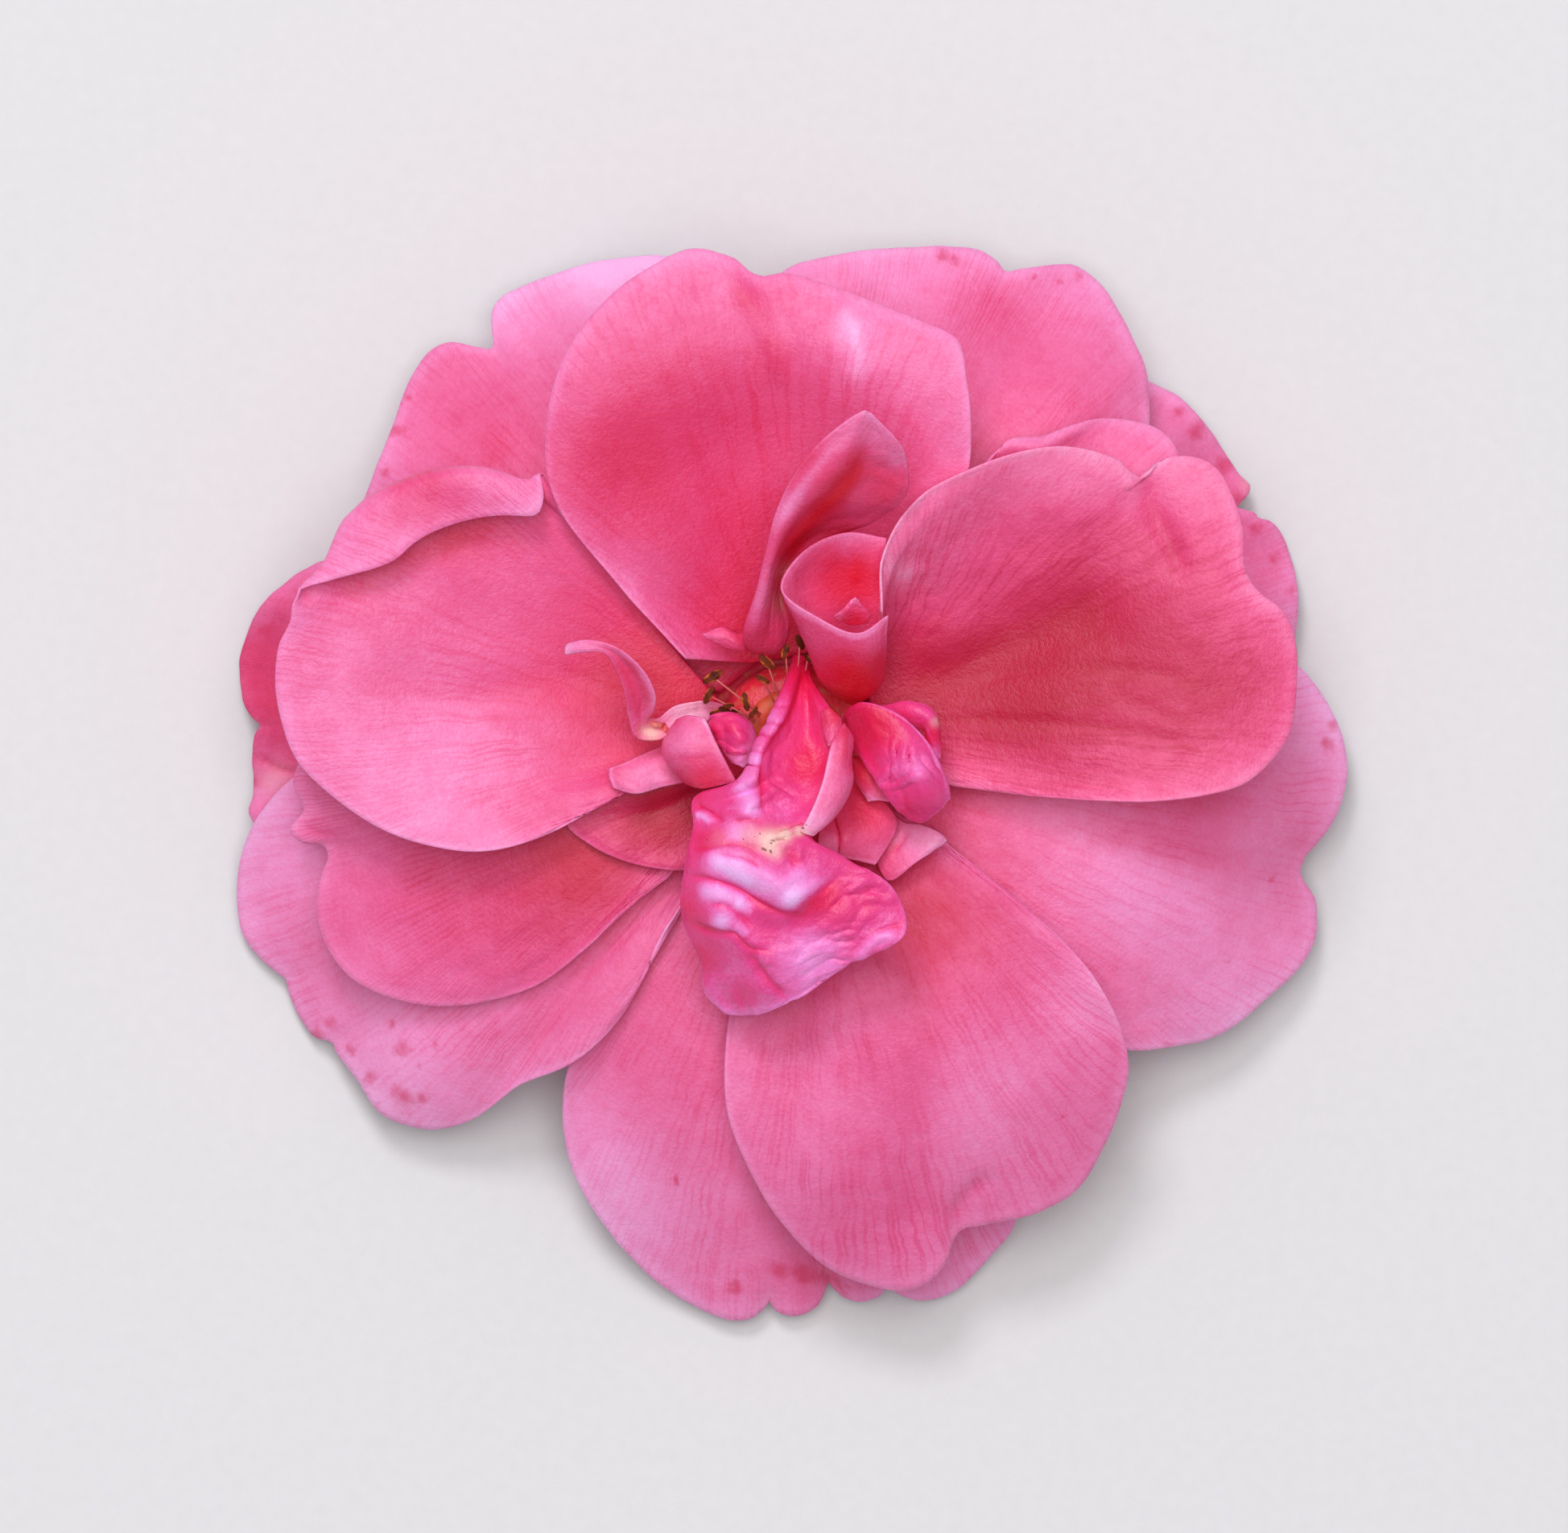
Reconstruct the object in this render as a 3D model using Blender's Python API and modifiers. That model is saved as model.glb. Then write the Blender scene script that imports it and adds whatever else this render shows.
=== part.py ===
"""An open pink rose bloom, picked just under its hip and lying face up on a flat surface.

Blender units are metres, with +Z up, and the origin is on the surface under the middle of the bloom's
outline. The shapes below are worked out in millimetres round the flower's own axis, which stands at
AXIS_PLACE: the surface is z = 0, and azimuths run anticlockwise from +X.
"""

import math

import bmesh
import bpy
import numpy as np
from mathutils import Vector
from mathutils.bvhtree import BVHTree

MM = 0.001
AXIS_PLACE = (0.073, 3.342)

# Every blade is this thick, and a petal keeps this much air over the petal that it lies on.
BLADE = 0.6
AIR = 0.38
# No blade reaches below the surface: its middle stays this high.
LOWEST = BLADE / 2 + 0.02

# Petals are worked out on a fine net, and every so many of its lines go into the solid.
FINE_ROWS, FINE_COLUMNS = 37, 61
FINER = 4

# The petals sit in three turns round the shoulder of the hip, each higher than the one before.
CLAW_RADIUS = 6.4
CLAW_HALF_WIDTH = 2.2
GUARD_SEAT, MIDDLE_SEAT, FRONT_SEAT = 11.6, 13.0, 14.4

HIP_TOP = 15.6
HIP_SHOULDER = 5.9
HIP_BELLY = 5.0
STALK_RADIUS = 1.9
STALK_LENGTH = 2.2
SEAT_GAP = 0.3

CALYX_RADIUS, CALYX_HEIGHT, CALYX_THICKNESS = 7.3, 10.8, 0.7

STAMEN_RING, STAMEN_RING_HEIGHT = (2.3, 3.9), 0.7
STAMENS = 15
STAMEN_FIRST, STAMEN_SPREAD = 98, 54
STAMEN_SHORTEST, STAMEN_LONGEST = 4.2, (5.4, 7.4)
STAMEN_HEIGHTS = (1.2, 2.4)
ANTHER_LENGTH, ANTHER_WIDTH = 1.8, 0.8
FILAMENT_WIDTH = 0.6
ROOT_DEPTH = 0.45
STYLE_PAD_RADIUS, STYLE_PAD_HEIGHT = 1.7, 0.8
STYLE_RINGS = ((0, 1), (0.8, 5), (1.3, 8))
STYLE_LENGTH = 2.0
SEED = 7

# Each broad petal, lowest first. seat is the height of its claw and azimuth the claw's place. rim is
# its outline as seen from above, anticlockwise from one side edge to the other. rise is the height of
# the petal at even steps from its claw to its farthest point, measured from the seat. sides lifts its
# two side edges, and ruffle waves the rim: (height, waves, phase). dents are (x, y, radius, height).
# roll turns the rim over: (middle, half span, extra width, radius), across the petal from -1 to 1.
BROAD_PETALS = {
    "guard_petal_left": dict(
        seat=GUARD_SEAT, azimuth=176,
        rim=[(-34.1, 14.1), (-36, 13.7), (-39, 12), (-41.1, 9.8), (-42.2, 7.4), (-42.5, 5.5),
             (-42.1, 2.9), (-41.3, 1.2), (-41.5, -1.5), (-41.4, -4.1), (-41.7, -5.6), (-40.8, -6.8),
             (-37.5, -6.6)],
        rise=[0, 0.6, -1.2, -5.2, -10.2], sides=(-0.6, -0.8), ruffle=(0.7, 3.0, 0.4),
        dents=[(-40, -3, 4, 0.8)],
    ),
    "guard_petal_upper_left": dict(
        seat=GUARD_SEAT, azimuth=128,
        rim=[(-3.4, 31.9), (-5.2, 35.6), (-8.6, 36.8), (-13.8, 36.8), (-17.5, 35.9), (-22.1, 34.1),
             (-23, 32.9), (-23.3, 30.5), (-24.3, 30.1), (-26.1, 30.4), (-27.6, 29.8), (-29.2, 27.6),
             (-31, 23), (-33, 18), (-34.4, 12.5)],
        rise=[0, 1.8, 1.4, -1.6, -6.8], sides=(-0.8, -0.8), ruffle=(0.8, 3.5, 1.2),
        dents=[(-23, 29, 3.5, -1.2)],
    ),
    "guard_petal_right": dict(
        seat=GUARD_SEAT, azimuth=27,
        rim=[(35.3, 1.2), (37.8, 4.3), (38.4, 7.4), (38.6, 11.1), (38.3, 13.5), (37.3, 16), (35.9, 17.2),
             (34.5, 17.9), (35, 19.4), (34.2, 20.3), (33.4, 21.6), (31.6, 24.3), (29.5, 26.4),
             (27, 27.6), (24.9, 28.9)],
        rise=[0, 0.8, -0.8, -4.6, -9.8], sides=(-0.6, -0.6), ruffle=(0.7, 4.0, 0.2),
        dents=[(33, 19, 3, -0.8)],
    ),
    "guard_petal_bottom": dict(
        seat=GUARD_SEAT, azimuth=266,
        rim=[(-12, -16), (-15, -20.3), (-17.1, -24.7), (-17.6, -29.2), (-16.9, -32.5), (-14.7, -36.8),
             (-11.4, -40.5), (-8.3, -43), (-4.3, -44.5), (-1.9, -43.8), (0, -44.1), (1.5, -43.7),
             (2.8, -42.5), (5.2, -43), (7.4, -42.4), (10.1, -43), (12.6, -42.1), (15.2, -39.4),
             (17, -36.8), (17, -33), (14.5, -29.5)],
        rise=[0, 0.8, -0.4, -4.4, -10.4], sides=(-0.6, -0.6), ruffle=(0.6, 5.0, 0.9),
        dents=[(-3, -30, 7, 0.7)],
    ),
    "guard_petal_lower_right": dict(
        seat=GUARD_SEAT, azimuth=335,
        rim=[(13.2, -14.1), (18.1, -20.3), (21.8, -22.7), (25.5, -23.6), (27.9, -23.5), (32.2, -22.6),
             (36.5, -19.6), (39.3, -16.7), (40.1, -14.7), (40, -12.3), (39.2, -10.4), (39.6, -8.6),
             (41.4, -6.1), (42.1, -4.3), (42.4, -1.8), (41.9, 0.6), (40.2, 3.7), (38.1, 6), (35.5, 6.6)],
        rise=[0, 1.6, 0.9, -2.6, -8.6], sides=(-0.8, 0.2), ruffle=(0.8, 3.5, 2.0),
        dents=[(28, -8, 7, 0.8), (38, -10, 3, -0.9)],
    ),
    "guard_petal_top": dict(
        seat=GUARD_SEAT, azimuth=72,
        rim=[(25.5, 20.3), (27.1, 23.9), (27, 27.6), (26.1, 30.3), (24.9, 32.7), (23.1, 35.2),
             (21.5, 36.3), (20, 36.3), (16.8, 36), (15.4, 36.7), (14.1, 37.5), (8.9, 37.6), (3.4, 37),
             (-0.6, 35.9), (-2.6, 33.5)],
        rise=[0, 2.0, 1.8, -0.8, -6.0], sides=(-0.8, -0.8), ruffle=(0.7, 3.5, 0.7),
        dents=[(16, 32, 4, -1.2), (22, 25, 5, 0.8)],
    ),
    "guard_petal_lower_left": dict(
        seat=GUARD_SEAT, azimuth=212,
        rim=[(-34.7, -1.2), (-38.1, -2.8), (-40.8, -5.5), (-42.1, -8.1), (-42.6, -11.4), (-42.2, -14.7),
             (-40.8, -16.6), (-39.3, -18.1), (-38.1, -20.8), (-36.8, -22.8), (-35.6, -23.5),
             (-33.5, -25.8), (-31.6, -28.4), (-28.4, -29.8), (-24.9, -29.2), (-20.9, -26.3),
             (-17.5, -24.9), (-15.4, -23.5), (-13.2, -21), (-11.4, -17.8), (-9.5, -14.1)],
        rise=[0, 1.2, 0.4, -3.4, -10.6], sides=(-0.2, -0.8), ruffle=(0.9, 4.0, 1.0),
        dents=[(-38, -15, 5, -0.8), (-29, -26, 4, 0.9)],
    ),
    "middle_petal_upper_right": dict(
        seat=MIDDLE_SEAT, azimuth=48,
        rim=[(29.5, 19), (29.3, 21.4), (28.7, 22.7), (27.3, 23.8), (24.1, 24.4), (21.8, 24.1),
             (19.3, 23.1), (16, 22.6), (14.1, 19.6)],
        rise=[0, 1.8, 2.4, 2.2, 1.2], sides=(0.2, 0.6), ruffle=(0.5, 2.5, 0.5),
        dents=[(18, 22, 2, 1.2)],
    ),
    "middle_petal_left": dict(
        seat=MIDDLE_SEAT, azimuth=205,
        rim=[(-35.2, 1.2), (-37.6, -1.8), (-38.1, -3.4), (-37.2, -5.2), (-38.3, -6.8), (-37.6, -7.7),
             (-35.8, -8), (-35.4, -8.8), (-36, -10.4), (-36.3, -12.9), (-35.8, -15.2), (-34.1, -17.7),
             (-31, -19.5), (-27, -20.2), (-23, -19.8), (-19.3, -18.5), (-16.3, -16.1), (-13.5, -13.5),
             (-9.5, -10.4)],
        rise=[0, 1.0, 0.9, -0.9, -4.0], sides=(0.6, 0.4), ruffle=(0.5, 2.5, 1.8),
        dents=[(-26, -10, 6, -0.6), (-37, -6, 2, 0.6)],
    ),
    "middle_petal_bottom": dict(
        seat=MIDDLE_SEAT, azimuth=304,
        rim=[(-3.4, -16.6), (-4.8, -21), (-5.2, -25.2), (-4.9, -28.6), (-3.4, -32.5), (-1.2, -36.2),
             (2.5, -40.1), (5.2, -41.3), (8.2, -41.9), (10.1, -41.4), (11.7, -39.8), (12.3, -38.2),
             (14, -37.1), (18.7, -35.9), (21.6, -34.4), (23.9, -30.7), (25.1, -27.3), (25.5, -24.6),
             (24.6, -21.2), (22.7, -17.8), (20.6, -15.4), (17.5, -12.6), (14.4, -10.1), (11.5, -7.7)],
        rise=[0, 2.2, 2.6, 0.6, -5.2], sides=(-0.8, 0.4), ruffle=(0.5, 3.0, 2.4),
        dents=[(13, -35, 4, -0.8), (10, -22, 6, 0.9), (1, -24, 5, -0.6)],
    ),
    "front_petal_small": dict(
        seat=FRONT_SEAT, azimuth=214,
        rim=[(-15.2, -4.0), (-17.1, -6.3), (-15.4, -7.9), (-12.6, -9.2), (-9.5, -9.8), (-7.4, -9.8)],
        rise=[0, 0.5, 0.6, 0.3, -0.2], sides=(0, 0), ruffle=(0.2, 2.0, 0),
        dents=[],
    ),
    "front_petal_left": dict(
        seat=FRONT_SEAT, azimuth=170,
        rim=[(-17.6, 17.2), (-19, 19.9), (-21.4, 20.7), (-25.5, 20.8), (-28.8, 20.1), (-32.5, 18.4),
             (-34.8, 16.3), (-36, 13.6), (-36.6, 11.2), (-37.2, 9.6), (-38.7, 7.8), (-39.2, 4.9),
             (-38.9, 2.1), (-37.6, -1.5), (-34.7, -4.4), (-31, -6.8), (-27.3, -8), (-23.6, -8.4),
             (-20, -7.7), (-16.3, -5.8), (-13.1, -3.7)],
        rise=[0, 1.2, 2.6, 3.4, 3.2], sides=(1.4, -0.2), ruffle=(0.4, 2.5, 2.2),
        dents=[(-25, 4, 7, -0.9), (-15, 8, 5, -0.6)], roll=(-0.62, 0.42, 5.5, 1.1),
    ),
    "front_petal_top": dict(
        seat=FRONT_SEAT, azimuth=100,
        rim=[(9.5, 14.6), (13, 19.6), (13.4, 23.9), (13, 27.6), (12.4, 30.2), (10.1, 31.4),
             (7.7, 32.4), (3.4, 34), (-0.6, 35.2), (-2.9, 35), (-4, 36.1), (-5.8, 36.8), (-7.7, 37.1),
             (-11.4, 35.3), (-13.8, 33.5), (-16.6, 30.1), (-18, 27), (-18.7, 23.3), (-18.5, 19.6),
             (-17.2, 16.6), (-14.7, 13.5), (-11.4, 9.7), (-8.2, 6.2)],
        rise=[0, 2.0, 5.0, 7.4, 6.2], sides=(0.6, 1), ruffle=(0.5, 2.5, 0.3),
        dents=[(0, 22, 6, -1.4), (-10, 14, 4, 0.8), (5, 29, 4, 0.9)],
    ),
    "front_petal_right": dict(
        seat=FRONT_SEAT, azimuth=15,
        rim=[(12, -3.4), (19.3, -4.3), (26.1, -4.7), (30.4, -4.3), (34.1, -3.3), (36.5, -1.2),
             (37.6, 0.6), (38.1, 4.3), (38, 7.4), (37.1, 9.7), (35, 11.4), (34.1, 13.2), (34, 16),
             (32.6, 19.8), (31.6, 20.9), (29.5, 21.5), (27.8, 21.1), (26.4, 19.6), (24.6, 21.1),
             (20.6, 22.1), (16.6, 21.6), (13.2, 20.3), (9.8, 18.1), (8, 16), (7.1, 13.5), (7.3, 9.8)],
        rise=[0, 1.4, 3.2, 4.2, 3.6], sides=(0.4, 7.6), ruffle=(0.5, 3.0, 1.4),
        dents=[(16, 11, 5, -1.6), (24, 11, 5, -1.1), (10, 14, 3.5, 1.6), (27, 17, 3, -0.8)],
    ),
}

# Each inner petal, which a rose grows in place of stamens, as rows of places that its middle surface
# passes through. The first row is its foot at the hip, and each row runs from one side edge to the other.
INNER_PETALS = {
    "inner_petal_hood": dict(size=(13, 8), rows=[
        [(-1.9, 7.5, 15.6), (-1.3, 7.4, 15.5), (-0.6, 7.5, 15.6)],
        [(-3.5, 6.9, 18.8), (-2.4, 6.7, 18.7), (-1.3, 6.8, 18.2), (-0.6, 7.3, 17.7)],
        [(-3.7, 8.3, 21.0), (-3.0, 8.3, 21.3), (-2.0, 8.3, 20.3), (-1.0, 8.4, 19.3), (-0.3, 9.0, 18.6)],
        [(-2.8, 11.2, 23.2), (-2.3, 11.3, 23.4), (-1.7, 11.3, 22.2), (-1.3, 11.2, 20.4),
         (-0.7, 11.4, 19.1)],
        [(-2.1, 14.0, 24.8), (-1.5, 14.2, 24.9), (-1.0, 14.2, 23.2), (0.2, 14.8, 20.4),
         (3.2, 15.2, 19.4)],
        [(-1.3, 17.0, 26.2), (-0.2, 16.9, 26.2), (0.8, 16.8, 24.0), (3.0, 16.6, 21.4),
         (6.2, 16.6, 22.0)],
        [(0.1, 20.0, 27.6), (1.9, 19.2, 27.4), (3.2, 18.6, 25.2), (5.2, 18.0, 23.6), (8.4, 18.4, 24.4)],
        [(2.1, 22.4, 28.6), (3.8, 21.4, 28.2), (4.8, 20.8, 26.8), (6.2, 20.4, 26.0), (8.5, 20.8, 26.0)],
        [(4.4, 24.2, 29.2), (5.0, 23.8, 29.0), (5.6, 23.4, 28.4), (6.6, 22.8, 27.8), (7.8, 22.5, 27.6)],
        [(5.4, 24.7, 29.4), (5.6, 24.6, 29.3), (5.8, 24.5, 29.2)],
    ]),
    "inner_petal_fringe": dict(size=(6, 4), lies=True, rows=[
        [(-3.2, 8.6, 16.6), (-3.1, 8.2, 16.5), (-3.0, 7.8, 16.6)],
        [(-4.1, 8.0, 17.4), (-3.9, 7.4, 17.5), (-3.7, 6.8, 17.2)],
        [(-5.3, 8.5, 17.6), (-5.1, 7.8, 17.9), (-4.9, 7.0, 17.5)],
        [(-6.8, 8.0, 17.4), (-6.5, 7.8, 17.5), (-6.2, 7.6, 17.4)],
    ]),
    "inner_petal_cornet": dict(size=(10, 15), rows=[
        [(5.1, 3.4, 16.8), (4.8, 3.0, 17.0), (4.2, 2.9, 17.0), (3.8, 3.2, 16.7), (3.9, 3.7, 16.4),
         (4.5, 4.0, 16.3)],
        [(6.2, 4.5, 18.8), (5.2, 3.6, 19.6), (3.6, 3.5, 19.7), (2.2, 4.4, 19.1), (2.4, 5.9, 18.1),
         (4.6, 6.3, 17.9)],
        [(6.5, 6.3, 21.2), (5.2, 5.2, 22.0), (3.0, 5.4, 22.0), (1.2, 6.9, 21.2), (1.5, 8.9, 20.0),
         (4.6, 9.3, 19.6), (5.9, 8.8, 19.8)],
        [(6.6, 8.1, 23.0), (5.3, 6.8, 23.8), (2.5, 7.4, 23.8), (0.1, 9.4, 22.8), (0.7, 11.9, 21.4),
         (4.0, 12.6, 20.9), (6.2, 11.8, 21.0)],
        [(6.7, 9.4, 24.2), (4.9, 8.1, 24.9), (2.0, 9.1, 24.9), (-0.9, 11.4, 23.9), (0.9, 14.3, 22.8),
         (4.0, 15.6, 22.2), (6.5, 14.8, 22.2)],
    ]),
    "inner_petal_heart": dict(size=(5, 5), rows=[
        [(3.0, 9.3, 22.6), (4.4, 8.8, 22.2), (5.6, 8.9, 22.3)],
        [(3.7, 9.8, 23.0), (4.7, 9.6, 22.8), (5.7, 9.6, 22.6)],
        [(4.4, 10.4, 23.2), (4.7, 10.5, 23.2), (5.0, 10.4, 23.1)],
    ]),
    "inner_petal_strap": dict(size=(17, 4), rows=[
        [(-4.4, 1.3, 16.3), (-4.4, 1.8, 16.1), (-4.3, 2.3, 16.3)],
        [(-6.8, 1.5, 17.9), (-6.8, 2.2, 17.4), (-6.6, 2.9, 17.8)],
        [(-8.8, 1.0, 18.7), (-8.9, 1.7, 18.3), (-9.0, 2.5, 18.6)],
        [(-10.1, 0.1, 19.1), (-10.2, 0.8, 18.8), (-10.2, 1.6, 19.1)],
        [(-11.8, 0.2, 19.7), (-11.4, 0.9, 19.4), (-10.9, 1.7, 19.8)],
        [(-12.4, 1.7, 20.8), (-11.5, 2.0, 20.3), (-10.6, 2.2, 20.8)],
        [(-12.7, 3.6, 22.2), (-11.6, 3.6, 21.6), (-10.5, 3.5, 22.2)],
        [(-13.4, 5.4, 23.3), (-12.5, 5.5, 22.9), (-11.5, 5.4, 23.5)],
        [(-14.3, 6.6, 23.9), (-13.9, 6.8, 23.8), (-13.4, 7.0, 24.1)],
        [(-15.7, 6.7, 23.8), (-15.6, 7.1, 23.8), (-15.5, 7.5, 23.8)],
        [(-17.2, 6.5, 23.2), (-17.2, 6.8, 23.3), (-17.1, 7.2, 23.2)],
    ]),
    "inner_petal_tongue": dict(size=(9, 5), lies=True, rows=[
        [(-5.5, -0.5, 16.0), (-5.4, -1.1, 15.9), (-5.3, -1.7, 16.0)],
        [(-8.0, 0.0, 16.6), (-7.9, -1.5, 16.5), (-7.6, -2.9, 16.5)],
        [(-10.6, -0.8, 17.2), (-10.5, -2.2, 17.0), (-10.0, -3.5, 17.0)],
        [(-12.6, -1.7, 17.8), (-12.4, -2.8, 17.6), (-12.0, -4.0, 17.6)],
        [(-13.9, -2.2, 17.8), (-13.9, -2.8, 17.6), (-13.6, -3.6, 17.6)],
    ]),
    "inner_petal_roll": dict(size=(13, 7), rows=[
        [(-3.8, -2.2, 16.3), (-4.1, -1.6, 16.3), (-4.4, -1.0, 16.3)],
        [(-5.4, -3.3, 18.3), (-5.9, -2.0, 18.1), (-6.0, -0.4, 18.3)],
        [(-7.6, -3.3, 19.2), (-8.4, -1.4, 18.9), (-8.0, 0.9, 19.4)],
        [(-8.2, -3.2, 20.0), (-9.8, -0.8, 20.0), (-8.9, 1.3, 20.2)],
        [(-6.9, -3.6, 21.6), (-8.4, -0.9, 22.5), (-8.1, 1.8, 21.6)],
        [(-4.4, -3.1, 22.0), (-5.7, -0.6, 22.9), (-6.7, 1.6, 22.2)],
    ]),
    "inner_petal_dome": dict(size=(9, 6), rows=[
        [(-4.4, 0.7, 16.3), (-4.5, 0.2, 16.2), (-4.4, -0.3, 16.3)],
        [(-6.3, 1.4, 19.2), (-5.8, 0.4, 19.1), (-5.0, -0.6, 19.0)],
        [(-6.0, 1.9, 20.6), (-5.4, 0.4, 20.8), (-4.8, -1.6, 20.3)],
        [(-4.6, 2.1, 20.8), (-4.2, 0.5, 21.6), (-4.1, -1.9, 20.8)],
        [(-3.3, 1.4, 20.0), (-3.0, 0.0, 20.7), (-3.6, -2.0, 20.5)],
        [(-2.8, 0.6, 19.2), (-2.7, -0.2, 19.6), (-3.3, -1.6, 19.8)],
    ]),
    "inner_petal_centre": dict(size=(27, 12), rows=[
        [(0.0, 6.3, 16.0), (0.6, 6.3, 15.8), (1.2, 6.1, 15.9)],
        [(-0.4, 4.9, 20.0), (0.1, 4.7, 20.2), (0.6, 4.8, 19.2), (1.1, 4.6, 19.0), (1.5, 4.1, 19.4)],
        [(-1.6, 2.1, 22.2), (-0.8, 1.8, 22.9), (0.0, 1.6, 21.2), (1.2, 1.6, 20.8), (2.2, 1.8, 22.0),
         (3.3, 1.7, 21.6)],
        [(-2.9, -0.3, 22.9), (-2.1, -0.6, 23.8), (-1.0, -0.7, 22.2), (1.6, -0.7, 21.6),
         (2.9, -0.7, 23.4), (4.2, -0.4, 22.2)],
        [(-4.0, -2.9, 23.5), (-2.5, -2.9, 24.8), (-1.3, -2.9, 23.2), (1.2, -2.9, 22.6),
         (2.5, -2.9, 24.2), (4.4, -2.7, 22.8)],
        [(-7.5, -4.4, 21.6), (-5.4, -5.0, 23.4), (-2.6, -5.0, 25.4), (-1.2, -5.0, 24.3),
         (0.6, -5.1, 24.0), (1.7, -5.1, 24.8), (3.4, -5.2, 23.4)],
        [(-7.5, -6.6, 22.6), (-4.8, -6.8, 25.0), (-2.4, -7.0, 25.8), (-1.2, -7.2, 25.6),
         (0.0, -7.2, 25.4), (1.3, -7.2, 24.4)],
        [(-8.0, -8.7, 23.0), (-5.6, -9.0, 25.6), (-3.0, -9.2, 26.2), (-0.4, -9.0, 25.6),
         (2.0, -8.7, 25.0), (3.8, -8.9, 24.2)],
        [(-8.4, -11.2, 22.4), (-6.0, -11.0, 24.9), (-3.4, -11.4, 25.0), (-0.6, -11.6, 26.2),
         (3.0, -11.0, 24.4), (7.0, -10.7, 24.0)],
        [(-8.3, -13.6, 21.4), (-5.4, -13.6, 24.6), (-2.6, -14.2, 24.0), (1.0, -14.0, 24.0),
         (4.6, -13.4, 24.0), (8.4, -13.2, 23.4)],
        [(-7.0, -16.5, 20.2), (-4.6, -16.2, 22.6), (-2.6, -16.4, 23.6), (0.6, -16.2, 23.4),
         (4.2, -15.4, 23.2), (8.0, -15.1, 23.8)],
        [(-6.7, -19.0, 18.8), (-4.8, -18.4, 20.4), (-2.2, -18.4, 22.4), (-0.2, -18.4, 22.3),
         (2.2, -17.8, 22.2), (4.2, -16.8, 22.3)],
        [(-5.2, -20.7, 18.2), (-4.0, -20.8, 18.8), (-2.6, -20.7, 19.8), (-1.4, -20.3, 20.8),
         (-0.4, -19.8, 21.4), (0.8, -19.3, 21.6)],
    ]),
    "inner_petal_ear": dict(size=(11, 7), rows=[
        [(4.4, -0.6, 16.3), (4.5, -0.1, 16.2), (4.5, 0.5, 16.3)],
        [(4.6, -0.7, 18.8), (4.3, 0.5, 19.4), (3.9, 1.9, 19.6)],
        [(5.4, -1.8, 20.8), (5.6, 0.4, 22.2), (5.3, 2.8, 21.6)],
        [(7.0, -4.2, 20.9), (7.8, -1.2, 23.4), (8.2, 1.7, 22.0)],
        [(8.4, -5.8, 20.4), (9.6, -3.0, 23.2), (10.5, -0.8, 21.8)],
        [(9.6, -6.2, 19.9), (10.8, -4.6, 21.8), (11.7, -3.4, 20.9)],
        [(10.5, -5.7, 19.9), (11.3, -5.0, 20.2), (11.8, -4.4, 20.2)],
    ]),
    "inner_petal_curl": dict(size=(11, 4), rows=[
        [(4.7, 1.5, 16.3), (4.6, 1.9, 16.2), (4.4, 2.3, 16.3)],
        [(7.2, 1.4, 19.6), (7.1, 2.0, 19.6), (7.0, 2.6, 19.4)],
        [(8.8, 1.2, 20.2), (9.0, 2.2, 20.8), (8.8, 2.9, 20.4)],
        [(9.9, 0.8, 20.2), (10.3, 1.7, 20.9), (10.5, 2.3, 20.4)],
        [(10.1, -0.2, 20.0), (10.7, 0.2, 20.4), (11.1, 0.6, 20.0)],
        [(10.6, -1.4, 19.6), (10.8, -1.4, 19.6), (11.1, -1.3, 19.5)],
    ]),
    "inner_petal_side": dict(size=(8, 5), rows=[
        [(4.2, -1.9, 16.3), (4.4, -1.6, 16.2), (4.6, -1.3, 16.3)],
        [(4.5, -1.7, 18.2), (5.1, -1.5, 18.6), (5.8, -1.4, 18.6)],
        [(4.7, -2.9, 18.8), (5.6, -2.8, 19.3), (6.6, -2.8, 19.0)],
        [(5.7, -4.6, 18.6), (6.4, -4.5, 18.9), (7.2, -4.6, 18.7)],
    ]),
    "inner_petal_fold": dict(size=(8, 6), lies=True, rows=[
        [(3.2, -3.2, 16.3), (3.6, -2.9, 16.2), (4.0, -2.5, 16.3)],
        [(2.4, -5.6, 17.6), (4.8, -4.9, 17.6), (7.2, -5.1, 17.4)],
        [(2.0, -7.8, 18.2), (3.4, -7.6, 18.9), (5.4, -7.4, 18.4), (7.7, -6.9, 17.6)],
        [(2.6, -8.6, 18.0), (3.6, -8.8, 18.2), (5.0, -9.1, 17.9), (6.2, -9.4, 17.6)],
    ]),
    "inner_petal_corner": dict(size=(8, 6), lies=True, rows=[
        [(4.5, -4.7, 15.3), (4.9, -4.2, 15.2), (5.3, -3.7, 15.3)],
        [(6.0, -8.2, 16.2), (7.0, -7.2, 16.3), (8.2, -6.2, 16.2)],
        [(7.3, -10.6, 16.6), (8.6, -8.6, 16.9), (9.7, -6.5, 16.8)],
        [(9.6, -9.0, 17.1), (10.4, -8.2, 17.3), (11.1, -7.1, 17.2)],
        [(11.2, -8.0, 17.1), (11.4, -7.8, 17.1), (11.6, -7.6, 17.1)],
    ]),
}

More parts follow.
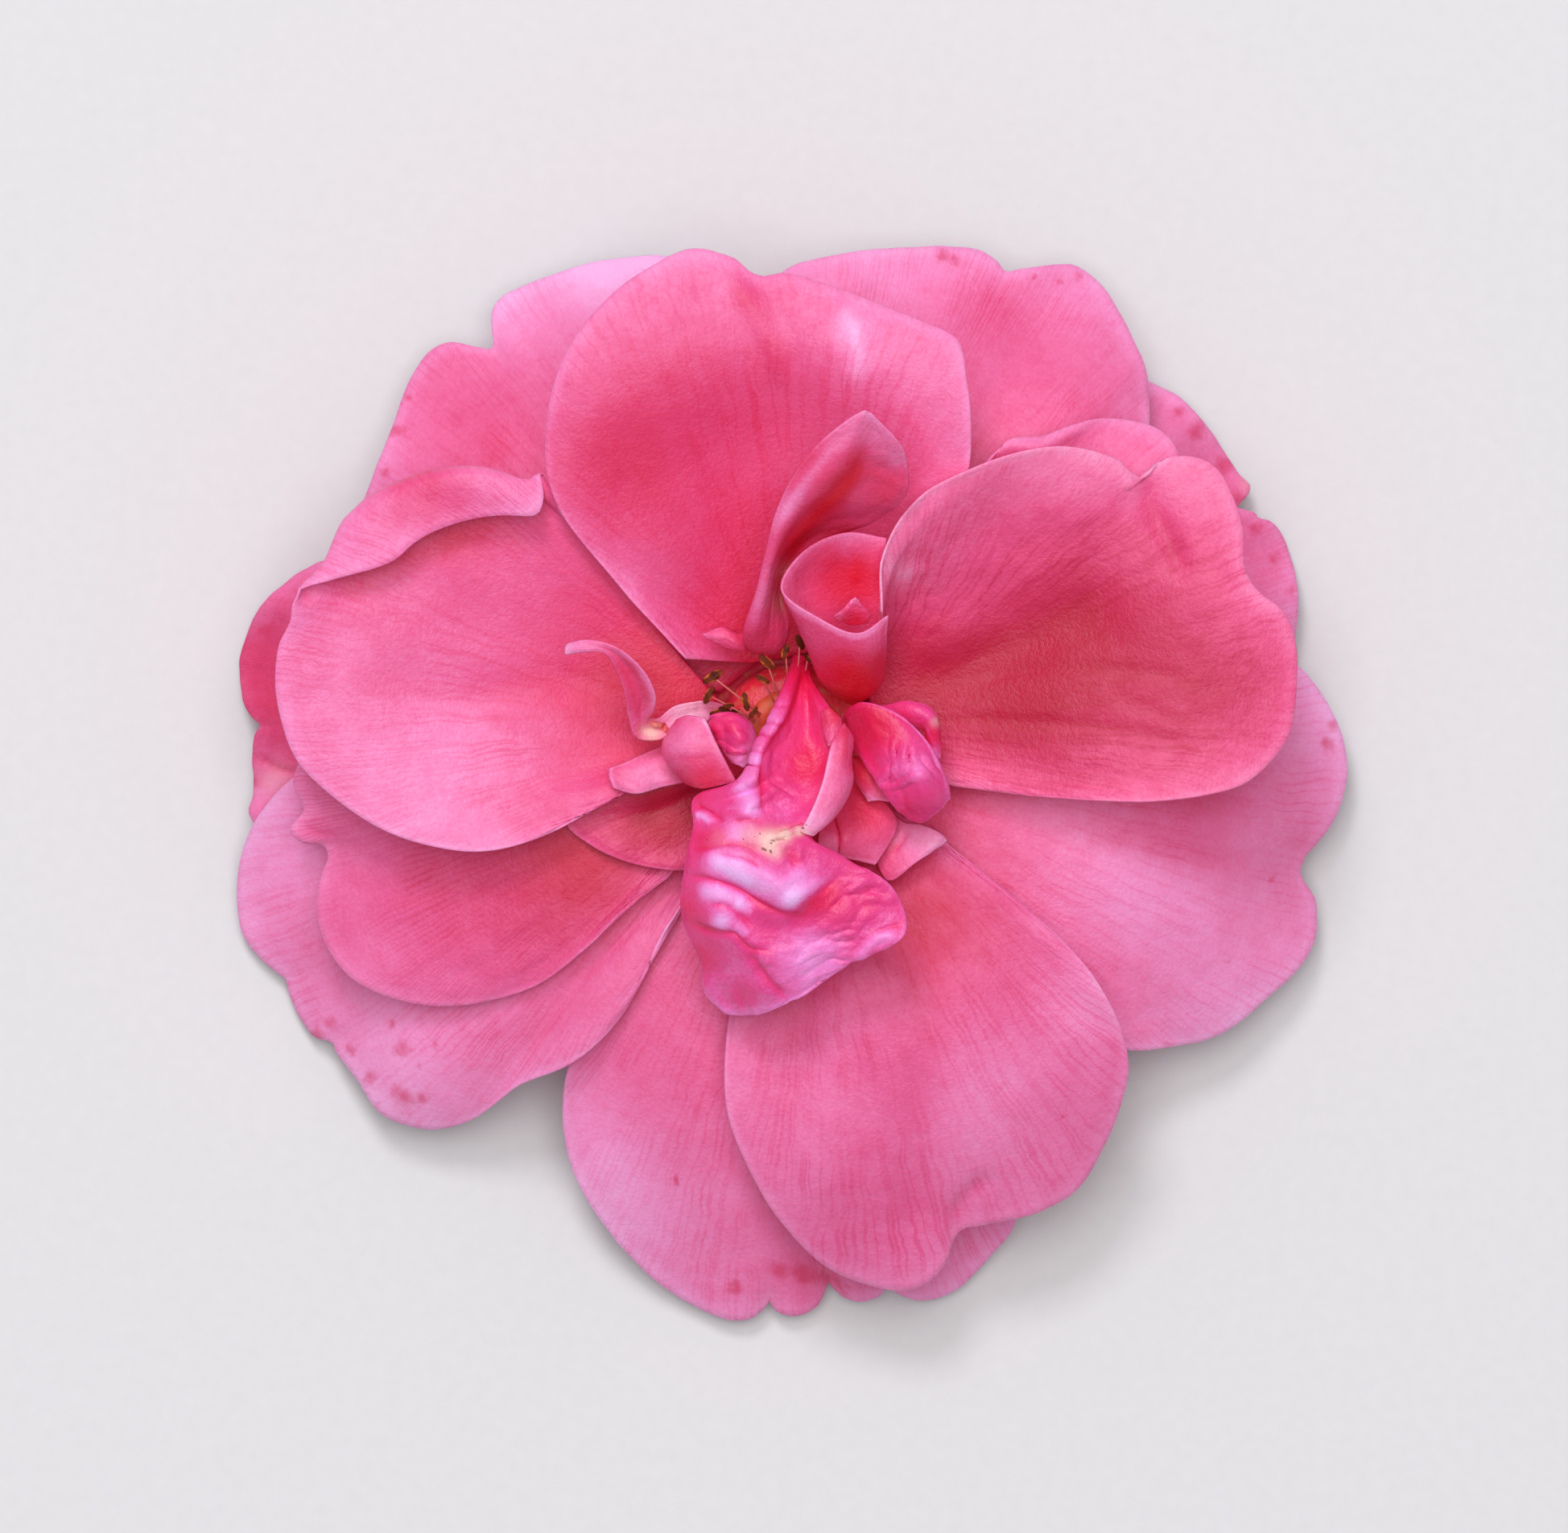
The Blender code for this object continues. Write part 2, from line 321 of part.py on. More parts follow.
# The calyx has five sepals, bent down under the open petals until their tips rest on the surface.
SEPAL_ROWS = [
    [(7.9, -2.1, 10.1), (8.0, 0, 10.4), (7.9, 2.1, 10.1)],
    [(9.8, -3.0, 8.7), (10.2, 0, 9.6), (9.8, 3.0, 8.7)],
    [(12.4, -2.6, 6.4), (13.0, 0, 7.4), (12.4, 2.6, 6.4)],
    [(15.4, -1.7, 3.4), (15.9, 0, 4.1), (15.4, 1.7, 3.4)],
    [(18.4, -0.9, 0.8), (18.6, 0, 1.1), (18.4, 0.9, 0.8)],
    [(21.4, -0.3, LOWEST), (21.5, 0, LOWEST), (21.4, 0.3, LOWEST)],
]
SEPAL_SIZE = (9, 5)
SEPALS = 5
SEPAL_FIRST_AZIMUTH = 54


def smooth_curve(points, samples, even=2):
    """samples places along a smooth curve through the points, evenly spaced in their first few numbers."""
    points = np.array(points, float)
    steps = np.linalg.norm(np.diff(points[:, :even], axis=0), axis=1) ** 0.5
    knots = np.concatenate([[0], np.cumsum(steps)])
    slopes = np.gradient(points, knots, axis=0)
    dense = np.linspace(0, knots[-1], 24 * len(points))
    before = np.clip(np.searchsorted(knots, dense, side="right") - 1, 0, len(points) - 2)
    span = (knots[before + 1] - knots[before])[:, None]
    t = (dense - knots[before])[:, None] / span
    curve = (
        (2 * t**3 - 3 * t**2 + 1) * points[before]
        + (t**3 - 2 * t**2 + t) * span * slopes[before]
        + (3 * t**2 - 2 * t**3) * points[before + 1]
        + (t**3 - t**2) * span * slopes[before + 1]
    )
    lengths = np.linalg.norm(np.diff(curve[:, :even], axis=0), axis=1)
    along = np.concatenate([[0], np.cumsum(lengths)])
    places = np.linspace(0, along[-1], samples)
    return np.column_stack([np.interp(places, along, column) for column in curve.T])


def smooth_step(x):
    x = np.clip(x, 0, 1)
    return x * x * (3 - 2 * x)


def broad_surface(petal):
    """The middle surface of a broad petal: FINE_ROWS lines from its claw out to its rim."""
    across = np.linspace(-1, 1, FINE_COLUMNS)
    outward = np.linspace(0, 1, FINE_ROWS)[:, None]
    azimuth = math.radians(petal["azimuth"])
    out = np.array([math.cos(azimuth), math.sin(azimuth)])
    aside = np.array([-out[1], out[0]])
    claw = out * CLAW_RADIUS + aside * across[:, None] * CLAW_HALF_WIDTH
    spoke = smooth_curve(petal["rim"], FINE_COLUMNS) - claw
    reach = np.linalg.norm(spoke, axis=1)

    middle, half_span, extra, radius = petal.get("roll", (0, 1, 0, 1))
    rolled = smooth_step(1.6 * (1 - np.abs(across - middle) / half_span)) * (extra > 0)
    start = reach - radius * rolled
    flat = outward * (reach + extra * rolled)
    past = np.maximum(flat - start, 0)
    turn = np.minimum(past / radius, math.pi)
    distance = np.minimum(flat, start) + radius * np.sin(turn) - np.maximum(past - math.pi * radius, 0)
    lift = radius * (1 - np.cos(turn))

    share = distance / reach
    plan = claw + spoke * share[..., None]
    steps = np.linspace(0, reach.max(), len(petal["rise"]))
    profile = smooth_curve(np.column_stack([steps, petal["rise"]]), 101, even=1)
    height = petal["seat"] + np.interp(distance, profile[:, 0], profile[:, 1]) + lift
    height += share**1.5 * across**2 * np.where(across < 0, *petal["sides"])
    wave, waves, phase = petal["ruffle"]
    height += wave * share**4 * np.sin(waves * math.pi * across + phase)
    for x, y, spread, depth in petal["dents"]:
        away = np.hypot(plan[..., 0] - x, plan[..., 1] - y) / spread
        height += depth * np.exp(-away * away) * smooth_step(share * 3)
    return np.dstack([plan, np.maximum(height, LOWEST)])


def net_surface(rows, row_count, column_count):
    """The smooth surface through rows of places, as row_count lines of column_count places each."""
    across = np.array([smooth_curve(row, column_count, even=3) for row in rows])
    along = smooth_curve(across.reshape(len(rows), -1), row_count, even=3 * column_count)
    return along.reshape(row_count, column_count, 3)


def inner_surface(petal, trees):
    """The fine middle surface of an inner petal, laid over the broad ones where it lies on them."""
    rows, columns = petal["size"]
    surface = net_surface(petal["rows"], FINER * (rows - 1) + 1, FINER * (columns - 1) + 1)
    return lay_over(surface, trees) if petal.get("lies") else surface


def net_faces(rows, columns):
    """Triangles of a net, numbered row by row, that face up where the columns run anticlockwise."""
    faces = []
    for i in range(rows - 1):
        for j in range(columns - 1):
            a, b = i * columns + j, (i + 1) * columns + j
            faces += [(a, b, b + 1), (a, b + 1, a + 1)]
    return faces


def tree_of(surface):
    points = [Vector(p) for p in surface.reshape(-1, 3)]
    return BVHTree.FromPolygons(points, net_faces(*surface.shape[:2]))


def spread_out(lift):
    """The lift carried to its neighbours and blurred, so that a petal bends instead of stepping."""
    for take in (np.max, np.max, np.max, np.mean, np.mean, np.mean):
        padded = np.pad(lift, 1, mode="edge")
        rows, columns = lift.shape
        around = [padded[i:i + rows, j:j + columns] for i in range(3) for j in range(3)]
        lift = take(around, axis=0)
    return lift


def lay_over(surface, trees):
    """The surface lifted wherever it comes too near one of the surfaces that it lies on."""
    rows, columns = surface.shape[:2]
    high = 80.0
    for _ in range(2):
        lift = np.zeros((rows, columns))
        for i in range(rows):
            for j in range(columns):
                x, y, z = surface[i, j]
                for tree in trees:
                    hit, normal, _, _ = tree.ray_cast(Vector((x, y, high)), Vector((0, 0, -1)))
                    if hit:
                        needed = (BLADE + AIR) / max(abs(normal.z), 0.5)
                        lift[i, j] = max(lift[i, j], hit.z + needed - z)
        surface = surface.copy()
        surface[..., 2] += spread_out(lift)
    return surface


def broad_surfaces():
    """Every broad petal's middle surface, each laid over those before it."""
    surfaces, trees = {}, []
    for name, petal in BROAD_PETALS.items():
        surfaces[name] = lay_over(broad_surface(petal), trees)
        trees.append(tree_of(surfaces[name]))
    return surfaces


def material(name, colour, roughness):
    made = bpy.data.materials.new(name)
    made.use_nodes = True
    shader = made.node_tree.nodes["Principled BSDF"]
    shader.inputs["Base Color"].default_value = (*colour, 1)
    shader.inputs["Roughness"].default_value = roughness
    shader.inputs["Metallic"].default_value = 0
    return made


def add_object(name, mesh, finish, collection):
    mesh.materials.clear()
    mesh.materials.append(finish)
    made = bpy.data.objects.new(name, mesh)
    collection.objects.link(made)
    return made


def evaluated_mesh(made):
    """The object's mesh with its modifiers applied."""
    bpy.context.view_layer.update()
    graph = bpy.context.evaluated_depsgraph_get()
    return bpy.data.meshes.new_from_object(made.evaluated_get(graph))


def blade(name, surface, finish, collection):
    """One thin solid on both sides of a middle surface."""
    rows, columns = surface.shape[:2]
    net = bmesh.new()
    bmesh.ops.create_grid(net, x_segments=columns - 1, y_segments=rows - 1, size=0.5)
    net.verts.ensure_lookup_table()
    for vertex in net.verts:
        i, j = round((vertex.co.y + 0.5) * (rows - 1)), round((vertex.co.x + 0.5) * (columns - 1))
        vertex.co = Vector(surface[i, j]) * MM
    bmesh.ops.triangulate(net, faces=net.faces)
    mesh = bpy.data.meshes.new(name)
    net.to_mesh(mesh)
    net.free()
    mesh.shade_smooth()
    made = add_object(name, mesh, finish, collection)
    thick = made.modifiers.new("thickness", "SOLIDIFY")
    thick.thickness = BLADE * MM
    thick.offset = 0
    thick.use_even_offset = False
    return made


def turned(name, profile, steps, finish, collection):
    """A solid of revolution from a profile of (radius, height), top to bottom."""
    mesh = bpy.data.meshes.new(name)
    points = [(radius * MM, 0, height * MM) for radius, height in profile]
    mesh.from_pydata(points, [(i, i + 1) for i in range(len(points) - 1)], [])
    made = add_object(name, mesh, finish, collection)
    screw = made.modifiers.new("turn", "SCREW")
    screw.steps = screw.render_steps = steps
    screw.use_merge_vertices = True
    screw.merge_threshold = 0.00002
    return made


def hip(finish, collection):
    """The hip, with the short stub of stalk below it and the shoulder that the petals sit round."""
    profile = [
        (0, HIP_TOP), (4.6, HIP_TOP), (5.3, HIP_TOP - 0.5), (HIP_SHOULDER - 0.2, HIP_TOP - 1.6),
        (HIP_SHOULDER, HIP_TOP - 3), (HIP_SHOULDER, CALYX_HEIGHT + 0.3), (CALYX_RADIUS, CALYX_HEIGHT),
        (CALYX_RADIUS, CALYX_HEIGHT - CALYX_THICKNESS), (5.2, 9.7), (4.7, 8.9),
        (HIP_BELLY, 7.4), (4.8, 5.4), (3.7, 3.7), (2.4, 2.7), (STALK_RADIUS, STALK_LENGTH),
        (STALK_RADIUS, 0), (0, 0),
    ]
    return turned("hip", profile, 28, finish, collection)


def sepals(finish, collection):
    surface = net_surface(SEPAL_ROWS, *SEPAL_SIZE)
    for number in range(SEPALS):
        angle = math.radians(SEPAL_FIRST_AZIMUTH + number * 360 / SEPALS)
        turn = np.array([[math.cos(angle), math.sin(angle), 0], [-math.sin(angle), math.cos(angle), 0],
                         [0, 0, 1]])
        turned_surface = surface @ turn
        turned_surface[..., 2] = np.maximum(turned_surface[..., 2], LOWEST)
        blade(f"sepal_{number + 1}", turned_surface, finish, collection)


def stick(start, end, start_width, end_width, sides):
    """The mesh of a tapered stick from start to end, in millimetres."""
    run = Vector(end) - Vector(start)
    net = bmesh.new()
    bmesh.ops.create_cone(
        net, cap_ends=True, segments=sides, radius1=start_width / 2, radius2=end_width / 2,
        depth=run.length,
    )
    turn = run.to_track_quat("Z", "Y").to_matrix()
    middle = (Vector(start) + Vector(end)) / 2
    for vertex in net.verts:
        vertex.co = (turn @ vertex.co + middle) * MM
    mesh = bpy.data.meshes.new("stick")
    net.to_mesh(mesh)
    net.free()
    return mesh


def joined(first, meshes, finish, collection):
    """The first object and the closed meshes, made one solid with a Boolean union."""
    loose = bpy.data.collections.new(first.name + "_pieces")
    bpy.context.scene.collection.children.link(loose)
    for number, mesh in enumerate(meshes):
        add_object(f"{first.name}_piece_{number}", mesh, finish, loose)
    union = first.modifiers.new("join", "BOOLEAN")
    union.operation = "UNION"
    union.operand_type = "COLLECTION"
    union.collection = loose
    union.solver = "EXACT"
    mesh = evaluated_mesh(first)
    first.modifiers.clear()
    first.data = mesh
    for piece in list(loose.objects):
        bpy.data.objects.remove(piece)
    bpy.data.collections.remove(loose)
    return first


def stamens(finish, collection):
    """The stamens left standing on the open side of the bloom, rooted in one ring on the hip."""
    draw = np.random.default_rng(SEED)
    low = HIP_TOP + SEAT_GAP
    top = low + STAMEN_RING_HEIGHT
    inner, outer = STAMEN_RING
    profile = [(inner, top), (outer, top), (outer, low), (inner, low), (inner, top)]
    ring = turned("stamens", profile, 20, finish, collection)
    meshes = []
    for number in range(STAMENS):
        azimuth = math.radians(STAMEN_FIRST + STAMEN_SPREAD * (number + 0.5) / STAMENS)
        longest = np.interp(number, (0, STAMENS - 1), STAMEN_LONGEST)
        reach = (STAMEN_SHORTEST, longest, 0.5 * (STAMEN_SHORTEST + longest))[number % 3]
        out = Vector((math.cos(azimuth), math.sin(azimuth), 0))
        root = out * (inner + outer) / 2 + Vector((0, 0, top - ROOT_DEPTH))
        tip = out * reach + Vector((0, 0, top + draw.uniform(*STAMEN_HEIGHTS)))
        turn = draw.uniform(0, math.pi)
        half = Vector((math.cos(turn), math.sin(turn), draw.uniform(-0.3, 0.3))) * ANTHER_LENGTH / 2
        meshes.append(stick(root, tip, FILAMENT_WIDTH, FILAMENT_WIDTH, 3))
        meshes.append(stick(tip - half, tip + half, ANTHER_WIDTH * 0.7, ANTHER_WIDTH, 5))
    return joined(ring, meshes, finish, collection)


def pistil(finish, collection):
    """The styles, standing close together in the middle of the ring of stamens."""
    low = HIP_TOP + SEAT_GAP
    top = low + STYLE_PAD_HEIGHT
    pad = turned("pistil", [(0, top), (STYLE_PAD_RADIUS, top), (STYLE_PAD_RADIUS, low), (0, low)],
                 14, finish, collection)
    meshes = []
    for radius, count in STYLE_RINGS:
        for number in range(count):
            azimuth = 2 * math.pi * number / count
            foot = Vector((radius * math.cos(azimuth), radius * math.sin(azimuth), top - ROOT_DEPTH))
            tip = foot + Vector((0.05 * foot.x, 0.05 * foot.y, STYLE_LENGTH))
            meshes.append(stick(foot, tip, 0.5, 0.65, 4))
    return joined(pad, meshes, finish, collection)


def remove_everything():
    for old in list(bpy.data.objects):
        bpy.data.objects.remove(old)


def main():
    remove_everything()
    rose = bpy.data.collections.new("rose")
    bpy.context.scene.collection.children.link(rose)
    petal_pink = material("petal_pink", (0.83, 0.22, 0.36), 0.55)
    inner_pink = material("inner_petal_pink", (0.80, 0.12, 0.27), 0.45)
    green = material("calyx_green", (0.16, 0.27, 0.08), 0.5)
    brown = material("stamen_brown", (0.33, 0.16, 0.04), 0.6)
    cream = material("style_cream", (0.75, 0.62, 0.32), 0.6)
    hip(green, rose)
    sepals(green, rose)
    stamens(brown, rose)
    pistil(cream, rose)
    broad = broad_surfaces()
    for name, surface in broad.items():
        blade(name, surface[::FINER, ::FINER], petal_pink, rose)
    trees = [tree_of(surface) for surface in broad.values()]
    for name, petal in INNER_PETALS.items():
        blade(name, inner_surface(petal, trees)[::FINER, ::FINER], inner_pink, rose)
    for made in rose.objects:
        made.location = Vector((*AXIS_PLACE, 0)) * MM


main()
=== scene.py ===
"""The looks of an open pink rose bloom that lies face up, seen from straight above.

Every petal of the solid model is made again from the same outlines and nets as a thin blade with wrinkles,
nicks and veins, and the hip, sepals, stamens and styles are made again with their finer forms. Shapes are
worked out in millimetres round the flower's own axis, which stands at AXIS_PLACE in the frame.
"""

import math

import bpy
import numpy as np
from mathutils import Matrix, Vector
from mathutils.bvhtree import BVHTree


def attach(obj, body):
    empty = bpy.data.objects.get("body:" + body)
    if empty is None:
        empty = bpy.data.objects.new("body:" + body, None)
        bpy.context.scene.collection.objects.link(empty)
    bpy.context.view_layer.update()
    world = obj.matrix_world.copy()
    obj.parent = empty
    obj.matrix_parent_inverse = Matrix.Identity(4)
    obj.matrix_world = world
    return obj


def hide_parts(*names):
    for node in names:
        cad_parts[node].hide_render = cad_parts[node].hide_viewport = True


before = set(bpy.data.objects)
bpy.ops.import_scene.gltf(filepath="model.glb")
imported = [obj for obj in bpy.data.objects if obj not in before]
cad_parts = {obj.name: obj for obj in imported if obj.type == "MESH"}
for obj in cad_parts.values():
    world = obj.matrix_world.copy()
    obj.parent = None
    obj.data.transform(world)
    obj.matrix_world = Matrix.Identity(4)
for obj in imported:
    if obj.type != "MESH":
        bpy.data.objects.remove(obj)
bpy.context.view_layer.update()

MM = 0.001
AXIS_PLACE = np.array([0.073, 3.342, 0])

# The solids' blades are this thick, and a petal keeps this much air over the petal that it lies on. Petals
# are looked for below RAY_START, and none has its middle below LOWEST. The air is measured square to the
# petal below, as far as its steepness is above LEAST_SLOPE.
BLADE, AIR = 0.6, 0.38
LOWEST = BLADE / 2 + 0.02
RAY_START, LEAST_SLOPE = 80, 0.5

# Broad petals are worked out on a net of FINE_ROWS by FINE_COLUMNS lines, and an inner petal on one with
# FINER times the lines of its size. The blades made here have REFINED and INNER_REFINED times as many, one
# time more for those in FINEST. They are far thinner than the solids, and thin to their rim over
# EDGE_STEPS lines. A smooth curve is worked out at CURVE_STEPS places for each of its points.
FINE_ROWS, FINE_COLUMNS, FINER = 37, 61, 4
REFINED, INNER_REFINED = 2, 2
PETAL_THICKNESS, RIM_THICKNESS, RIM_ROUND = 0.34, 0.18, 0.09
EDGE_STEPS = 5
CURVE_STEPS, PROFILE_STEPS = 24, 101

# A broad petal's net is blurred EVENING times, all but the outermost part in RIM_PART, and the higher
# NICK_SHARPNESS is, the nearer to the rim a nick stays. A rim's roll grows over ROLL_GROWTH from a side
# edge. The ripples are (height, power of the way out, hills each way, seed), full on a rim of
# RIPPLED_WIDTH.
EVENING, RIM_PART, NICK_SHARPNESS, ROLL_GROWTH = 40, 7, 14, 0.12
RIPPLES = ((0.16, 1.5, (3, 15), 0), (0.05, 1, (7, 44), 50), (0.035, 1, (22, 52), 90))
RIPPLED_WIDTH = 40

# How strongly each inner petal is crumpled: the height of its folds, and how many there are each way.
CRUMPLES = {
    "inner_petal_centre": (0.1, (15, 7)), "inner_petal_ear": (0.07, (6, 4)),
    "inner_petal_dome": (0.14, (5, 4)), "inner_petal_hood": (0.08, (9, 5)),
}
LEAST_CRUMPLE = (0.04, (5, 3))
FOLD_SHARE, FOLD_SEED, FINE_SHARE, FINE_SEED = 0.55, 20, 0.35, 60
GLOSSY = ("inner_petal_centre", "inner_petal_dome", "inner_petal_ear", "inner_petal_curl")
FINEST = ("inner_petal_centre", "inner_petal_ear")

# Wrinkles are WRINKLE_LENGTH times as long as their spacing and come from a table of WRINKLE_TABLE draws
# each way. A line fades away over one part in LINE_TAPER of its length at either end.
WRINKLE_LENGTH, WRINKLE_TABLE, LINE_TAPER = 3.2, 64, 4

# Each set of veins: how many there are across the petal, where they start to fork off, and their width.
VEIN_FORKS = [(9, -0.4, 0.2), (18, 0.12, 0.17), (36, 0.36, 0.14), (72, 0.58, 0.11)]

# Each look of a petal: its colours on a screen from the palest to the deepest, how deep it is at steps
# outwards, and how strong its veins, streaks, roughness, coat and crinkles are.
OUTWARD = [(0, 1), (0.2, 0.78), (0.45, 0.56), (0.75, 0.48), (1, 0.36)]
INWARD = [(0, 0.7), (0.3, 0.6), (0.7, 0.5), (1, 0.42)]
PETAL_LOOKS = {
    "guard_petal_pink": ([(255, 186, 236), (250, 146, 200), (242, 112, 166), (228, 70, 122), (216, 38, 82)],
                         OUTWARD, 0.1, 0.04, 0.5, 0, 0.07),
    "middle_petal_pink": ([(252, 172, 218), (246, 130, 184), (236, 94, 150), (220, 60, 110), (206, 32, 70)],
                          OUTWARD, 0.11, 0.05, 0.5, 0, 0.07),
    "front_petal_pink": ([(255, 176, 226), (252, 132, 188), (240, 92, 148), (232, 60, 112), (220, 34, 74)],
                         OUTWARD, 0.09, 0.05, 0.46, 0, 0.07),
    # The shaded look is the front petals' colours made darker. It is painted shade for the front petals
    # that lie in shade.
    "shaded_petal_pink": ([(255, 176, 216), (255, 128, 178), (240, 84, 138), (210, 44, 92), (190, 16, 58)],
                          OUTWARD, 0.1, 0.05, 0.46, 0, 0.07),
    "curled_petal_satin": ([(252, 178, 222), (248, 128, 182), (238, 80, 134), (230, 44, 86), (232, 18, 44)],
                           INWARD, 0.05, 0.02, 0.46, 0.04, 0.07),
    "crumpled_petal_gloss": ([(255, 192, 252), (254, 134, 210), (242, 70, 146), (236, 36, 100),
                              (226, 16, 56)], INWARD, 0.03, 0.02, 0.4, 0.12, 0.1),
}
COLOUR_STEPS = (0, 0.28, 0.5, 0.75, 1)
RASPBERRY, CREAM, SPECK_BROWN, DOT_PURPLE = (218, 44, 92), (250, 204, 190), (112, 52, 30), (90, 10, 40)
# These front petals lie in shade, so they take the shaded look, which is painted shade.
IN_PAINTED_SHADE = ("front_petal_right", "front_petal_small")

# The claws stand round the axis at CLAW_RADIUS, each kind of petal at a height of its own.
CLAW_RADIUS, CLAW_HALF_WIDTH = 6.4, 2.2
GUARD_SEAT, MIDDLE_SEAT, FRONT_SEAT = 11.6, 13, 14.4

# The hip's height and its radius at the shoulder and the belly, and the gap to what is seated on it.
HIP_TOP, HIP_SHOULDER, HIP_BELLY, SEAT_GAP = 15.6, 5.9, 5, 0.3
STALK_RADIUS, STALK_LENGTH = 1.9, 2.2
CALYX_RADIUS, CALYX_HEIGHT, CALYX_THICKNESS = 7.3, 10.8, 0.7
HIP_STEPS, DISC_STEPS, PAD_STEPS = 96, 72, 48

# Hairs: how many on a square metre where they are thickest, their length and their thickness.
HIP_HAIRS, SEPAL_HAIRS = (1.1e6, 0.7, 0.09), (9e6, 0.5, 0.06)

